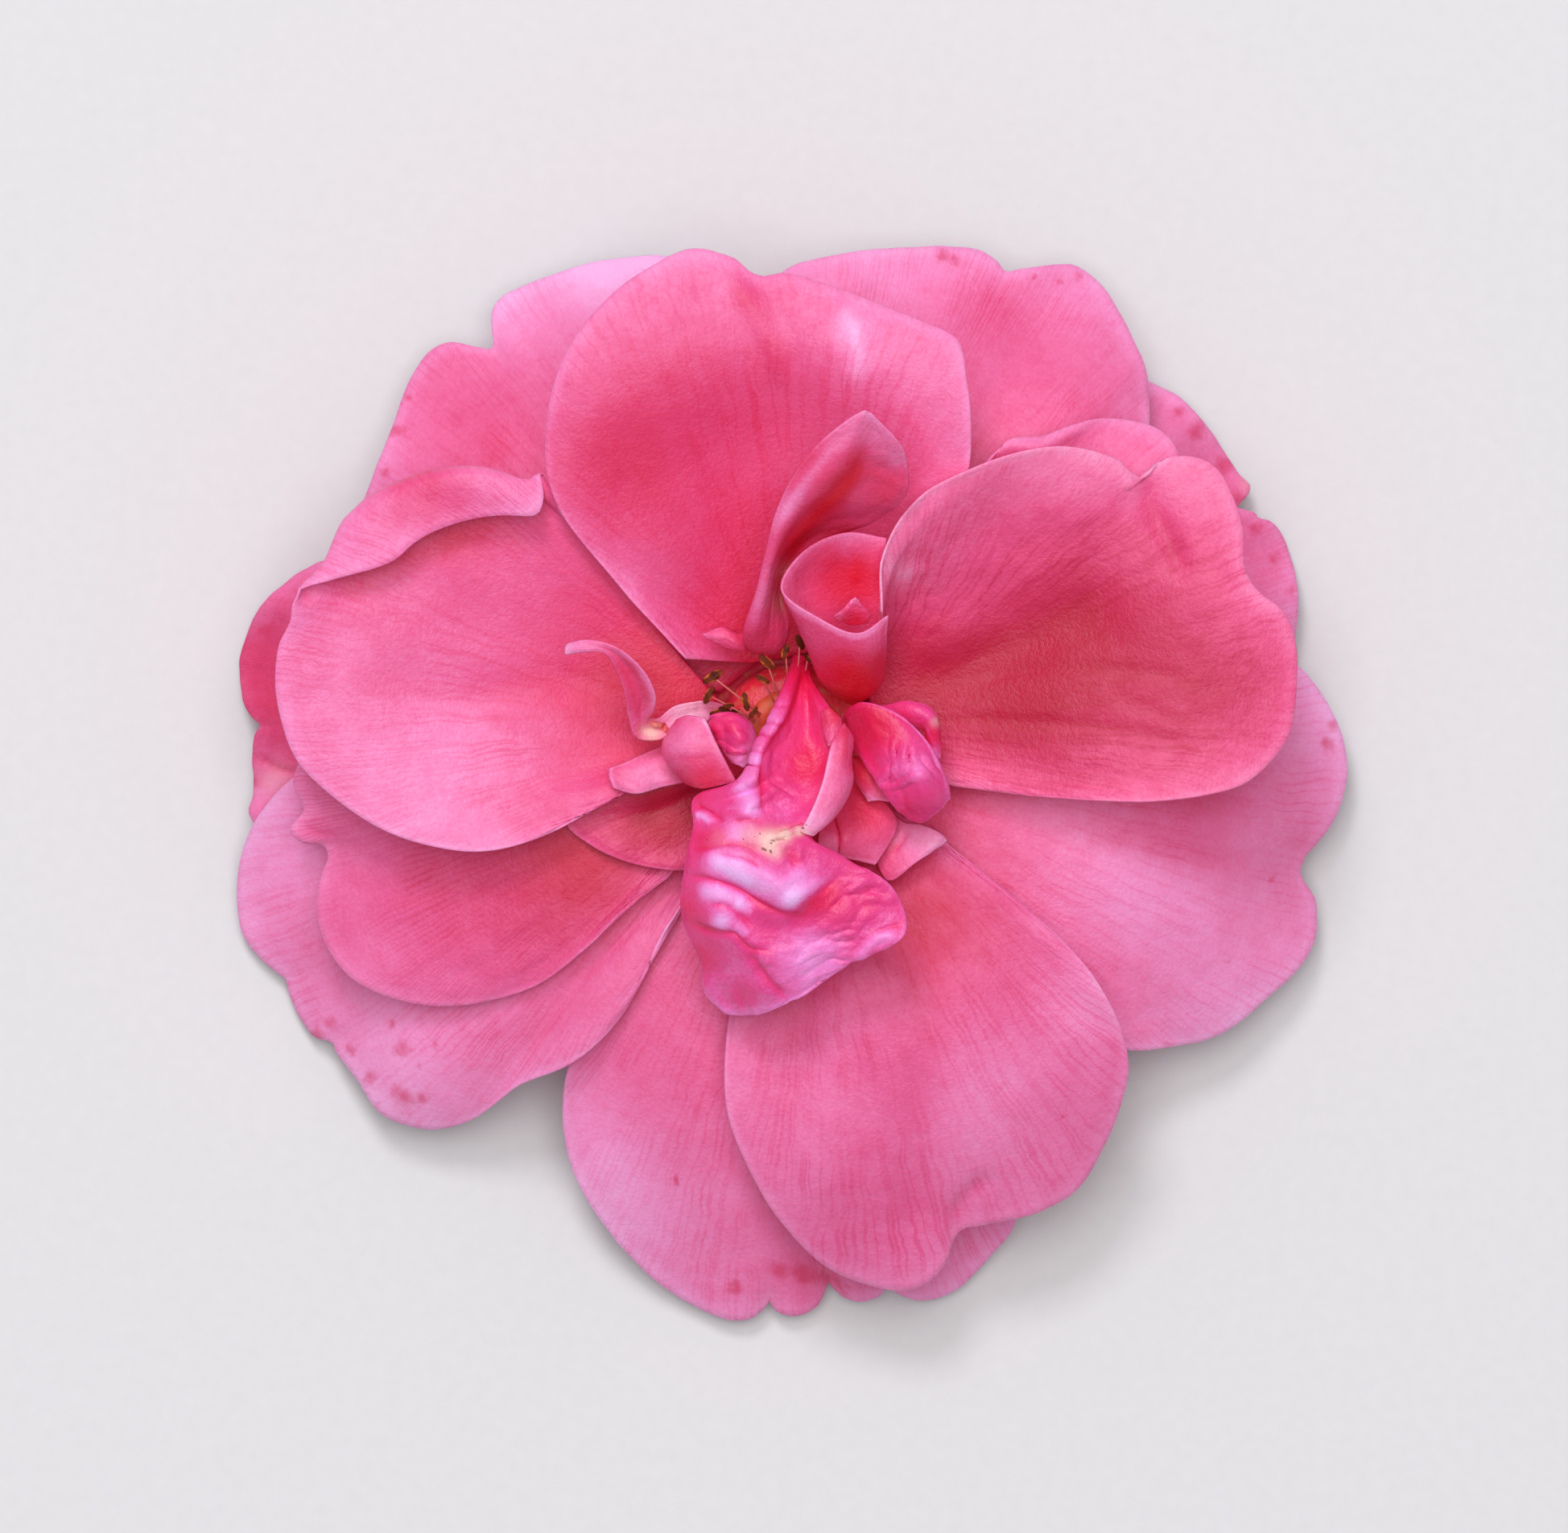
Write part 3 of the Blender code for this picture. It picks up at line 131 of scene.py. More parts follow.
# Each broad petal, lowest first. seat is the height of its claw and azimuth the claw's place. rim is
# its outline as seen from above, anticlockwise from one side edge to the other. rise is the height of
# the petal at even steps from its claw to its farthest point, measured from the seat. sides lifts its
# two side edges, and ruffle waves the rim: (height, waves, phase). dents are (x, y, radius, height).
# roll turns the rim over: (middle, half span, extra width, radius), across the petal from -1 to 1.
BROAD_PETALS = {
    "guard_petal_left": dict(
        seat=GUARD_SEAT, azimuth=176,
        rim=[(-34.1, 14.1), (-36, 13.7), (-39, 12), (-41.1, 9.8), (-42.2, 7.4), (-42.5, 5.5), (-42.1, 2.9),
             (-41.3, 1.2), (-41.5, -1.5), (-41.4, -4.1), (-41.7, -5.6), (-40.8, -6.8), (-37.5, -6.6)],
        rise=[0, 0.6, -1.2, -5.2, -10.2], sides=(-0.6, -0.8), ruffle=(0.7, 3, 0.4),
        dents=[(-40, -3, 4, 0.8)]),
    "guard_petal_upper_left": dict(
        seat=GUARD_SEAT, azimuth=128,
        rim=[(-3.4, 31.9), (-5.2, 35.6), (-8.6, 36.8), (-13.8, 36.8), (-17.5, 35.9), (-22.1, 34.1),
             (-23, 32.9), (-23.3, 30.5), (-24.3, 30.1), (-26.1, 30.4), (-27.6, 29.8), (-29.2, 27.6),
             (-31, 23), (-33, 18), (-34.4, 12.5)],
        rise=[0, 1.8, 1.4, -1.6, -6.8], sides=(-0.8, -0.8), ruffle=(0.8, 3.5, 1.2),
        dents=[(-23, 29, 3.5, -1.2)]),
    "guard_petal_right": dict(
        seat=GUARD_SEAT, azimuth=27,
        rim=[(35.3, 1.2), (37.8, 4.3), (38.4, 7.4), (38.6, 11.1), (38.3, 13.5), (37.3, 16), (35.9, 17.2),
             (34.5, 17.9), (35, 19.4), (34.2, 20.3), (33.4, 21.6), (31.6, 24.3), (29.5, 26.4), (27, 27.6),
             (24.9, 28.9)],
        rise=[0, 0.8, -0.8, -4.6, -9.8], sides=(-0.6, -0.6), ruffle=(0.7, 4, 0.2),
        dents=[(33, 19, 3, -0.8)]),
    "guard_petal_bottom": dict(
        seat=GUARD_SEAT, azimuth=266,
        rim=[(-12, -16), (-15, -20.3), (-17.1, -24.7), (-17.6, -29.2), (-16.9, -32.5), (-14.7, -36.8),
             (-11.4, -40.5), (-8.3, -43), (-4.3, -44.5), (-1.9, -43.8), (0, -44.1), (1.5, -43.7),
             (2.8, -42.5), (5.2, -43), (7.4, -42.4), (10.1, -43), (12.6, -42.1), (15.2, -39.4), (17, -36.8),
             (17, -33), (14.5, -29.5)],
        rise=[0, 0.8, -0.4, -4.4, -10.4], sides=(-0.6, -0.6), ruffle=(0.6, 5, 0.9),
        dents=[(-3, -30, 7, 0.7)]),
    "guard_petal_lower_right": dict(
        seat=GUARD_SEAT, azimuth=335,
        rim=[(13.2, -14.1), (18.1, -20.3), (21.8, -22.7), (25.5, -23.6), (27.9, -23.5), (32.2, -22.6),
             (36.5, -19.6), (39.3, -16.7), (40.1, -14.7), (40, -12.3), (39.2, -10.4), (39.6, -8.6),
             (41.4, -6.1), (42.1, -4.3), (42.4, -1.8), (41.9, 0.6), (40.2, 3.7), (38.1, 6), (35.5, 6.6)],
        rise=[0, 1.6, 0.9, -2.6, -8.6], sides=(-0.8, 0.2), ruffle=(0.8, 3.5, 2),
        dents=[(28, -8, 7, 0.8), (38, -10, 3, -0.9)]),
    "guard_petal_top": dict(
        seat=GUARD_SEAT, azimuth=72,
        rim=[(25.5, 20.3), (27.1, 23.9), (27, 27.6), (26.1, 30.3), (24.9, 32.7), (23.1, 35.2), (21.5, 36.3),
             (20, 36.3), (16.8, 36), (15.4, 36.7), (14.1, 37.5), (8.9, 37.6), (3.4, 37), (-0.6, 35.9),
             (-2.6, 33.5)],
        rise=[0, 2, 1.8, -0.8, -6], sides=(-0.8, -0.8), ruffle=(0.7, 3.5, 0.7),
        dents=[(16, 32, 4, -1.2), (22, 25, 5, 0.8)]),
    "guard_petal_lower_left": dict(
        seat=GUARD_SEAT, azimuth=212,
        rim=[(-34.7, -1.2), (-38.1, -2.8), (-40.8, -5.5), (-42.1, -8.1), (-42.6, -11.4), (-42.2, -14.7),
             (-40.8, -16.6), (-39.3, -18.1), (-38.1, -20.8), (-36.8, -22.8), (-35.6, -23.5), (-33.5, -25.8),
             (-31.6, -28.4), (-28.4, -29.8), (-24.9, -29.2), (-20.9, -26.3), (-17.5, -24.9), (-15.4, -23.5),
             (-13.2, -21), (-11.4, -17.8), (-9.5, -14.1)],
        rise=[0, 1.2, 0.4, -3.4, -10.6], sides=(-0.2, -0.8), ruffle=(0.9, 4, 1),
        dents=[(-38, -15, 5, -0.8), (-29, -26, 4, 0.9)]),
    "middle_petal_upper_right": dict(
        seat=MIDDLE_SEAT, azimuth=48,
        rim=[(29.5, 19), (29.3, 21.4), (28.7, 22.7), (27.3, 23.8), (24.1, 24.4), (21.8, 24.1), (19.3, 23.1),
             (16, 22.6), (14.1, 19.6)],
        rise=[0, 1.8, 2.4, 2.2, 1.2], sides=(0.2, 0.6), ruffle=(0.5, 2.5, 0.5), dents=[(18, 22, 2, 1.2)]),
    "middle_petal_left": dict(
        seat=MIDDLE_SEAT, azimuth=205,
        rim=[(-35.2, 1.2), (-37.6, -1.8), (-38.1, -3.4), (-37.2, -5.2), (-38.3, -6.8), (-37.6, -7.7),
             (-35.8, -8), (-35.4, -8.8), (-36, -10.4), (-36.3, -12.9), (-35.8, -15.2), (-34.1, -17.7),
             (-31, -19.5), (-27, -20.2), (-23, -19.8), (-19.3, -18.5), (-16.3, -16.1), (-13.5, -13.5),
             (-9.5, -10.4)],
        rise=[0, 1, 0.9, -0.9, -4], sides=(0.6, 0.4), ruffle=(0.5, 2.5, 1.8),
        dents=[(-26, -10, 6, -0.6), (-37, -6, 2, 0.6)]),
    "middle_petal_bottom": dict(
        seat=MIDDLE_SEAT, azimuth=304,
        rim=[(-3.4, -16.6), (-4.8, -21), (-5.2, -25.2), (-4.9, -28.6), (-3.4, -32.5), (-1.2, -36.2),
             (2.5, -40.1), (5.2, -41.3), (8.2, -41.9), (10.1, -41.4), (11.7, -39.8), (12.3, -38.2),
             (14, -37.1), (18.7, -35.9), (21.6, -34.4), (23.9, -30.7), (25.1, -27.3), (25.5, -24.6),
             (24.6, -21.2), (22.7, -17.8), (20.6, -15.4), (17.5, -12.6), (14.4, -10.1), (11.5, -7.7)],
        rise=[0, 2.2, 2.6, 0.6, -5.2], sides=(-0.8, 0.4), ruffle=(0.5, 3, 2.4),
        dents=[(13, -35, 4, -0.8), (10, -22, 6, 0.9), (1, -24, 5, -0.6)]),
    "front_petal_small": dict(
        seat=FRONT_SEAT, azimuth=214,
        rim=[(-15.2, -4), (-17.1, -6.3), (-15.4, -7.9), (-12.6, -9.2), (-9.5, -9.8), (-7.4, -9.8)],
        rise=[0, 0.5, 0.6, 0.3, -0.2], sides=(0, 0), ruffle=(0.2, 2, 0), dents=[]),
    "front_petal_left": dict(
        seat=FRONT_SEAT, azimuth=170,
        rim=[(-17.6, 17.2), (-19, 19.9), (-21.4, 20.7), (-25.5, 20.8), (-28.8, 20.1), (-32.5, 18.4),
             (-34.8, 16.3), (-36, 13.6), (-36.6, 11.2), (-37.2, 9.6), (-38.7, 7.8), (-39.2, 4.9),
             (-38.9, 2.1), (-37.6, -1.5), (-34.7, -4.4), (-31, -6.8), (-27.3, -8), (-23.6, -8.4),
             (-20, -7.7), (-16.3, -5.8), (-13.1, -3.7)],
        rise=[0, 1.2, 2.6, 3.4, 3.2], sides=(1.4, -0.2), ruffle=(0.4, 2.5, 2.2),
        dents=[(-25, 4, 7, -0.9), (-15, 8, 5, -0.6)], roll=(-0.58, 0.46, 7, 1.3)),
    "front_petal_top": dict(
        seat=FRONT_SEAT, azimuth=100,
        rim=[(9.5, 14.6), (13, 19.6), (13.4, 23.9), (13, 27.6), (12.4, 30.2), (10.1, 31.4), (7.7, 32.4),
             (3.4, 34), (-0.6, 35.2), (-2.9, 35), (-4, 36.1), (-5.8, 36.8), (-7.7, 37.1), (-11.4, 35.3),
             (-13.8, 33.5), (-16.6, 30.1), (-18, 27), (-18.7, 23.3), (-18.5, 19.6), (-17.2, 16.6),
             (-14.7, 13.5), (-11.4, 9.7), (-8.2, 6.2)],
        rise=[0, 2, 5, 7.4, 6.2], sides=(0.6, 1), ruffle=(0.5, 2.5, 0.3),
        dents=[(0, 22, 6, -1.4), (-10, 14, 4, 0.8), (5, 29, 4, 0.9)]),
    "front_petal_right": dict(
        seat=FRONT_SEAT, azimuth=15,
        rim=[(12, -3.4), (19.3, -4.3), (26.1, -4.7), (30.4, -4.3), (34.1, -3.3), (36.5, -1.2), (37.6, 0.6),
             (38.1, 4.3), (38, 7.4), (37.1, 9.7), (35, 11.4), (34.1, 13.2), (34, 16), (32.6, 19.8),
             (31.6, 20.9), (29.5, 21.5), (27.8, 21.1), (26.4, 19.6), (24.6, 21.1), (20.6, 22.1),
             (16.6, 21.6), (13.2, 20.3), (9.8, 18.1), (8, 16), (7.1, 13.5), (7.3, 9.8)],
        rise=[0, 1.4, 3.2, 4.2, 3.6], sides=(0.4, 7.6), ruffle=(0.5, 3, 1.4),
        dents=[(16, 11, 5, -1.6), (24, 11, 5, -1.1), (10, 14, 3.5, 1.6), (27, 17, 3, -0.8)]),
}

# Each inner petal, which a rose grows in place of stamens, as rows of places that its middle surface
# passes through. The first row is its foot at the hip, and each row runs from one side edge to the other.
INNER_PETALS = {
    "inner_petal_hood": dict(size=(13, 8), rows=[
        [(-1.9, 7.5, 15.6), (-1.3, 7.4, 15.5), (-0.6, 7.5, 15.6)],
        [(-3.5, 6.9, 18.8), (-2.4, 6.7, 18.7), (-1.3, 6.8, 18.2), (-0.6, 7.3, 17.7)],
        [(-3.7, 8.3, 21), (-3, 8.3, 21.3), (-2, 8.3, 20.3), (-1, 8.4, 19.3), (-0.3, 9, 18.6)],
        [(-2.8, 11.2, 23.2), (-2.3, 11.3, 23.4), (-1.7, 11.3, 22.2), (-1.3, 11.2, 20.4),
         (-0.7, 11.4, 19.1)],
        [(-2.1, 14, 24.8), (-1.5, 14.2, 24.9), (-1, 14.2, 23.6), (0.2, 14.8, 21.2), (3.2, 15.2, 20.2)],
        [(-1.3, 17, 26.2), (-0.2, 16.9, 26.2), (0.8, 16.8, 24.6), (3, 16.6, 22.4), (6.2, 16.6, 22)],
        [(0.1, 20, 27.6), (1.9, 19.2, 27.4), (3.2, 18.6, 25.6), (5.2, 18, 24.4), (8.4, 18.4, 24.4)],
        [(2.1, 22.4, 28.6), (3.8, 21.4, 28.2), (4.8, 20.8, 26.8), (6.2, 20.4, 26), (8.5, 20.8, 26)],
        [(4.4, 24.2, 29.2), (5, 23.8, 29), (5.6, 23.4, 28.4), (6.6, 22.8, 27.8), (7.8, 22.5, 27.6)],
        [(5.4, 24.7, 29.4), (5.6, 24.6, 29.3), (5.8, 24.5, 29.2)]]),
    "inner_petal_fringe": dict(size=(6, 4), lies=True, rows=[
        [(-3.2, 8.6, 16.6), (-3.1, 8.2, 16.5), (-3, 7.8, 16.6)],
        [(-4.1, 8, 17.4), (-3.9, 7.4, 17.5), (-3.7, 6.8, 17.2)],
        [(-5.3, 8.5, 17.6), (-5.1, 7.8, 17.9), (-4.9, 7, 17.5)],
        [(-6.8, 8, 17.4), (-6.5, 7.8, 17.5), (-6.2, 7.6, 17.4)]]),
    "inner_petal_cornet": dict(size=(10, 15), rows=[
        [(5.4, 3.3, 16.8), (4.8, 2.9, 17), (4.2, 2.9, 17), (3.8, 3.2, 16.7), (3.9, 3.7, 16.4),
         (4.8, 4, 16.3)],
        [(6.7, 4.4, 18.8), (5.4, 3.4, 19.6), (3.6, 3.5, 19.7), (2.2, 4.4, 19.1), (2.4, 5.9, 18.1),
         (5.4, 6.3, 17.7)],
        [(6.95, 6.2, 21.2), (5.4, 5, 22), (3, 5.4, 22), (1.2, 6.9, 21.2), (1.5, 8.9, 20), (4.6, 9.6, 19.4),
         (6.6, 9, 19.2)],
        [(7, 7.9, 23), (5.4, 6.7, 23.8), (2.5, 7.4, 23.8), (0.1, 9.4, 22.8), (0.7, 11.9, 21.4),
         (4, 12.8, 20.7), (6.85, 11.8, 20.2)],
        [(7.1, 9.35, 23.8), (4.9, 8, 24.8), (2, 9.1, 24.9), (-0.9, 11.4, 23.9), (0.9, 14.3, 22.8),
         (4, 15.6, 22.2), (7, 15.2, 21.4)]]),
    "inner_petal_heart": dict(size=(5, 5), rows=[
        [(3, 9.3, 22.6), (4.4, 8.8, 22.2), (5.6, 8.9, 22.3)],
        [(3.5, 9.6, 23.2), (4.6, 9.6, 22.9), (5.7, 9.5, 22.7)],
        [(4.4, 10.5, 23.5), (4.7, 10.7, 23.5), (4.9, 10.4, 23.4)]]),
    "inner_petal_strap": dict(size=(17, 4), rows=[
        [(-4.4, 1.3, 16.3), (-4.4, 1.8, 16.1), (-4.3, 2.3, 16.3)],
        [(-6.8, 1.5, 17.9), (-6.8, 2.2, 17.4), (-6.6, 2.9, 17.8)],
        [(-8.8, 1, 18.7), (-8.9, 1.7, 18.3), (-9, 2.5, 18.6)],
        [(-10.1, 0.1, 19.1), (-10.2, 0.8, 18.8), (-10.2, 1.6, 19.1)],
        [(-11.8, 0.2, 19.7), (-11.4, 0.9, 19.4), (-10.9, 1.7, 19.8)],
        [(-12.4, 1.7, 20.8), (-11.5, 2, 20.3), (-10.6, 2.2, 20.8)],
        [(-12.7, 3.6, 22.2), (-11.6, 3.6, 21.6), (-10.5, 3.5, 22.2)],
        [(-13.4, 5.4, 23.3), (-12.5, 5.5, 22.9), (-11.5, 5.4, 23.5)],
        [(-14.3, 6.6, 23.9), (-13.9, 6.8, 23.8), (-13.4, 7, 24.1)],
        [(-15.7, 6.7, 23.8), (-15.6, 7.1, 23.8), (-15.5, 7.5, 23.8)],
        [(-17.2, 6.5, 23.2), (-17.2, 6.8, 23.3), (-17.1, 7.2, 23.2)]]),
    "inner_petal_tongue": dict(size=(9, 5), lies=True, rows=[
        [(-5.5, -0.5, 16), (-5.4, -1.1, 15.9), (-5.3, -1.7, 16)],
        [(-8, 0, 16.6), (-7.9, -1.5, 16.5), (-7.6, -2.9, 16.5)],
        [(-10.6, -0.8, 17.2), (-10.5, -2.2, 17), (-10, -3.5, 17)],
        [(-12.6, -1.7, 17.8), (-12.4, -2.8, 17.6), (-12, -4, 17.6)],
        [(-13.9, -2.2, 17.8), (-13.9, -2.8, 17.6), (-13.6, -3.6, 17.6)]]),
    "inner_petal_roll": dict(size=(13, 7), rows=[
        [(-3.8, -2.2, 16.3), (-4.1, -1.6, 16.3), (-4.4, -1, 16.3)],
        [(-5.4, -3.3, 18.3), (-5.9, -2, 18.1), (-6, -0.4, 18.3)],
        [(-7.6, -3.3, 19.2), (-8.4, -1.4, 18.9), (-8, 0.9, 19.4)],
        [(-8.2, -3.2, 20), (-9.8, -0.8, 20), (-8.9, 1.3, 20.2)],
        [(-6.9, -3.6, 21.6), (-8.4, -0.9, 22.5), (-8.1, 1.8, 21.6)],
        [(-4.4, -3.1, 22), (-5.7, -0.6, 22.9), (-6.7, 1.6, 22.2)]]),
    "inner_petal_dome": dict(size=(9, 6), rows=[
        [(-4.4, 0.7, 16.3), (-4.5, 0.2, 16.2), (-4.4, -0.3, 16.3)],
        [(-6.3, 1.4, 19.2), (-5.8, 0.4, 19.1), (-5, -0.6, 19)],
        [(-6, 1.9, 20.6), (-5.4, 0.4, 20.8), (-4.8, -1.6, 20.3)],
        [(-4.6, 2.1, 20.8), (-4.2, 0.5, 21.6), (-4.1, -1.9, 20.8)],
        [(-3.3, 1.4, 20), (-3, 0, 20.7), (-3.6, -2, 20.5)],
        [(-2.8, 0.6, 19.2), (-2.7, -0.2, 19.6), (-3.3, -1.6, 19.8)]]),
    "inner_petal_centre": dict(size=(27, 12), rows=[
        [(0, 6.3, 16), (0.6, 6.3, 15.8), (1.2, 6.1, 15.9)],
        [(-0.4, 4.9, 20), (0.1, 4.7, 20.2), (0.6, 4.8, 19.2), (1.1, 4.6, 19), (1.5, 4.1, 19.4)],
        [(-1.6, 2.1, 22.2), (-0.8, 1.8, 22.9), (0, 1.6, 21.2), (1.2, 1.6, 20.8), (2.2, 1.8, 22),
         (3.3, 1.7, 21.6)],
        [(-2.9, -0.3, 22.9), (-2.2, -0.6, 23.8), (-1.4, -0.7, 22.4), (1.6, -0.7, 21.6), (3.4, -0.7, 22.4),
         (4.2, -0.4, 22.2)],
        [(-4, -2.9, 23.5), (-3, -2.9, 24.8), (-1.9, -2.9, 23.4), (1.2, -2.9, 22.6), (3.1, -2.9, 23.4),
         (4.4, -2.7, 22.8)],
        [(-7.5, -4.4, 21.6), (-5.4, -5, 23.4), (-3.2, -5, 25.4), (-1.9, -5, 24.3), (0.6, -5.1, 23.7),
         (2.2, -5.1, 24), (3.4, -5.2, 23.4)],
        [(-7.5, -6.6, 22.6), (-4.8, -6.8, 25), (-2.4, -7, 25.8), (-1.2, -7.2, 25.6), (0, -7.2, 25.4),
         (1.3, -7.2, 24.4)],
        [(-8, -8.7, 23), (-5.6, -9, 25.6), (-3, -9.2, 26.2), (-0.4, -9, 25.6), (2, -8.7, 25),
         (3.8, -8.9, 24.2)],
        [(-8.4, -11.2, 22.4), (-6, -11, 24.9), (-3.4, -11.4, 25), (-0.6, -11.6, 26.2), (3, -11, 24.4),
         (7, -10.7, 24)],
        [(-8.3, -13.6, 21.4), (-5.4, -13.6, 24.6), (-2.6, -14.2, 24), (1, -14, 24), (4.6, -13.4, 24),
         (8.4, -13.2, 23.4)],
        [(-7, -16.5, 20.2), (-4.6, -16.2, 22.6), (-2.6, -16.4, 23.6), (0.6, -16.2, 23.4),
         (4.2, -15.4, 23.2), (8, -15.1, 23.8)],
        [(-6.7, -19, 18.8), (-4.8, -18.4, 20.4), (-2.2, -18.4, 22.4), (-0.2, -18.4, 22.3),
         (2.2, -17.8, 22.2), (4.2, -16.8, 22.3)],
        [(-5.2, -20.7, 18.2), (-4, -20.8, 18.8), (-2.6, -20.7, 19.8), (-1.4, -20.3, 20.8),
         (-0.4, -19.8, 21.4), (0.8, -19.3, 21.6)]]),
    "inner_petal_ear": dict(size=(11, 7), rows=[
        [(4.4, -0.6, 16.3), (4.5, -0.1, 16.2), (4.5, 0.5, 16.3)],
        [(4.6, -0.7, 18.8), (4.3, 0.5, 19.4), (3.9, 1.9, 19.6)],
        [(5.4, -1.8, 20.8), (5.6, 0.4, 21.4), (5.3, 2.8, 22)],
        [(7, -4.2, 21.2), (7.8, -1.2, 22.6), (8.2, 1.7, 22.4)],
        [(8.4, -5.8, 20.4), (9.6, -3, 23.2), (10.5, -0.8, 21.8)],
        [(9.6, -6.2, 19.9), (10.8, -4.6, 21.8), (11.7, -3.4, 20.9)],
        [(10.5, -5.7, 19.9), (11.3, -5, 20.2), (11.8, -4.4, 20.2)]]),
    "inner_petal_curl": dict(size=(11, 4), rows=[
        [(4.7, 1.5, 16.3), (4.6, 1.9, 16.2), (4.4, 2.3, 16.3)],
        [(7.2, 1.4, 19.6), (7.1, 2, 19.6), (7, 2.6, 19.4)],
        [(8.8, 1.2, 20.2), (9, 2.2, 20.8), (8.8, 2.9, 20.4)],
        [(9.9, 0.8, 20.2), (10.3, 1.7, 20.9), (10.5, 2.3, 20.4)],
        [(10.1, -0.2, 20), (10.7, 0.2, 20.4), (11.1, 0.6, 20)],
        [(10.6, -1.4, 19.6), (10.8, -1.4, 19.6), (11.1, -1.3, 19.5)]]),
    "inner_petal_side": dict(size=(8, 5), rows=[
        [(4.2, -1.9, 16.3), (4.4, -1.6, 16.2), (4.6, -1.3, 16.3)],
        [(4.5, -1.7, 18.2), (5.1, -1.5, 18.6), (5.8, -1.4, 18.6)],
        [(4.7, -2.9, 18.8), (5.6, -2.8, 19.3), (6.6, -2.8, 19)],
        [(5.7, -4.6, 18.6), (6.4, -4.5, 18.9), (7.2, -4.6, 18.7)]]),
    "inner_petal_fold": dict(size=(8, 6), lies=True, rows=[
        [(3.2, -3.2, 16.3), (3.6, -2.9, 16.2), (4, -2.5, 16.3)],
        [(2.4, -5.6, 17.6), (4.8, -4.9, 17.6), (7.2, -5.1, 17.4)],
        [(2, -7.8, 18.2), (3.4, -7.6, 18.9), (5.4, -7.4, 18.4), (7.7, -6.9, 17.6)],
        [(2.6, -8.6, 18), (3.6, -8.8, 18.2), (5, -9.1, 17.9), (6.2, -9.4, 17.6)]]),
    "inner_petal_corner": dict(size=(8, 6), lies=True, rows=[
        [(4.5, -4.7, 15.3), (4.9, -4.2, 15.2), (5.3, -3.7, 15.3)],
        [(6, -8.2, 16.2), (7, -7.2, 16.3), (8.2, -6.2, 16.2)],
        [(7.3, -10.6, 16.6), (8.6, -8.6, 16.9), (9.7, -6.5, 16.8)],
        [(9.6, -9, 17.1), (10.4, -8.2, 17.3), (11.1, -7.1, 17.2)],
        [(11.2, -8, 17.1), (11.4, -7.8, 17.1), (11.6, -7.6, 17.1)]]),
}

# The margin of the centre petal is curled in over its right side, and shows the paler back of the petal.
CURLED_MARGIN = {
    "inner_petal_flap": dict(size=(13, 5), rows=[
        [(3.8, 1.2, 22), (3.7, 1.1, 22.3), (3.6, 0.9, 22.5)],
        [(4.5, 0.1, 22.4), (3.9, 0, 23.3), (3, -0.1, 23.7)],
        [(4.35, -1.6, 22.8), (3.7, -1.6, 23.9), (2.65, -1.5, 24.1)],
        [(4.5, -3, 23), (3.6, -3.1, 24.3), (2.35, -2.9, 24.6)],
        [(3.9, -4.6, 23.6), (3, -4.7, 24.8), (1.8, -4.5, 25)],
        [(2.9, -6, 24), (2.1, -6.2, 25), (1.2, -5.8, 25.3)],
        [(1.5, -7.2, 24.8), (1.1, -7.1, 25.2), (0.6, -6.9, 25.4)]]),
    "inner_petal_flap_top": dict(size=(7, 5), rows=[
        [(2.1, 2.1, 21.9), (2.5, 2.3, 22.3), (2.9, 2.3, 22.2)],
        [(2.15, 1.2, 22.3), (2.8, 1.4, 22.8), (3.6, 1.5, 22.5)],
        [(2.4, 0.3, 22.8), (2.9, 0.5, 23.2), (3.4, 0.6, 23)],
        [(2.7, -0.4, 23.1), (2.85, -0.3, 23.2), (3, -0.2, 23.1)]]),
}

# The calyx has five sepals, bent down under the open petals until their tips rest on the surface.
SEPAL_ROWS = [
    [(7.9, -2.1, 10.1), (8, 0, 10.4), (7.9, 2.1, 10.1)],
    [(9.8, -3, 8.7), (10.2, 0, 9.6), (9.8, 3, 8.7)],
    [(12.4, -2.6, 6.4), (13, 0, 7.4), (12.4, 2.6, 6.4)],
    [(15.4, -1.7, 3.4), (15.9, 0, 4.1), (15.4, 1.7, 3.4)],
    [(18.4, -0.9, 0.8), (18.6, 0, 1.1), (18.4, 0.9, 0.8)],
    [(21.4, -0.3, LOWEST), (21.5, 0, LOWEST), (21.4, 0.3, LOWEST)]]
SEPALS, SEPAL_FIRST_AZIMUTH = 5, 54
SEPAL_NET = (57, 25)
SEPAL_THICKNESS, SEPAL_RIM_THICKNESS = 0.5, 0.24
# Past this share of its length a sepal is too near the surface to carry hairs.
HAIRY_SHARE = 0.72
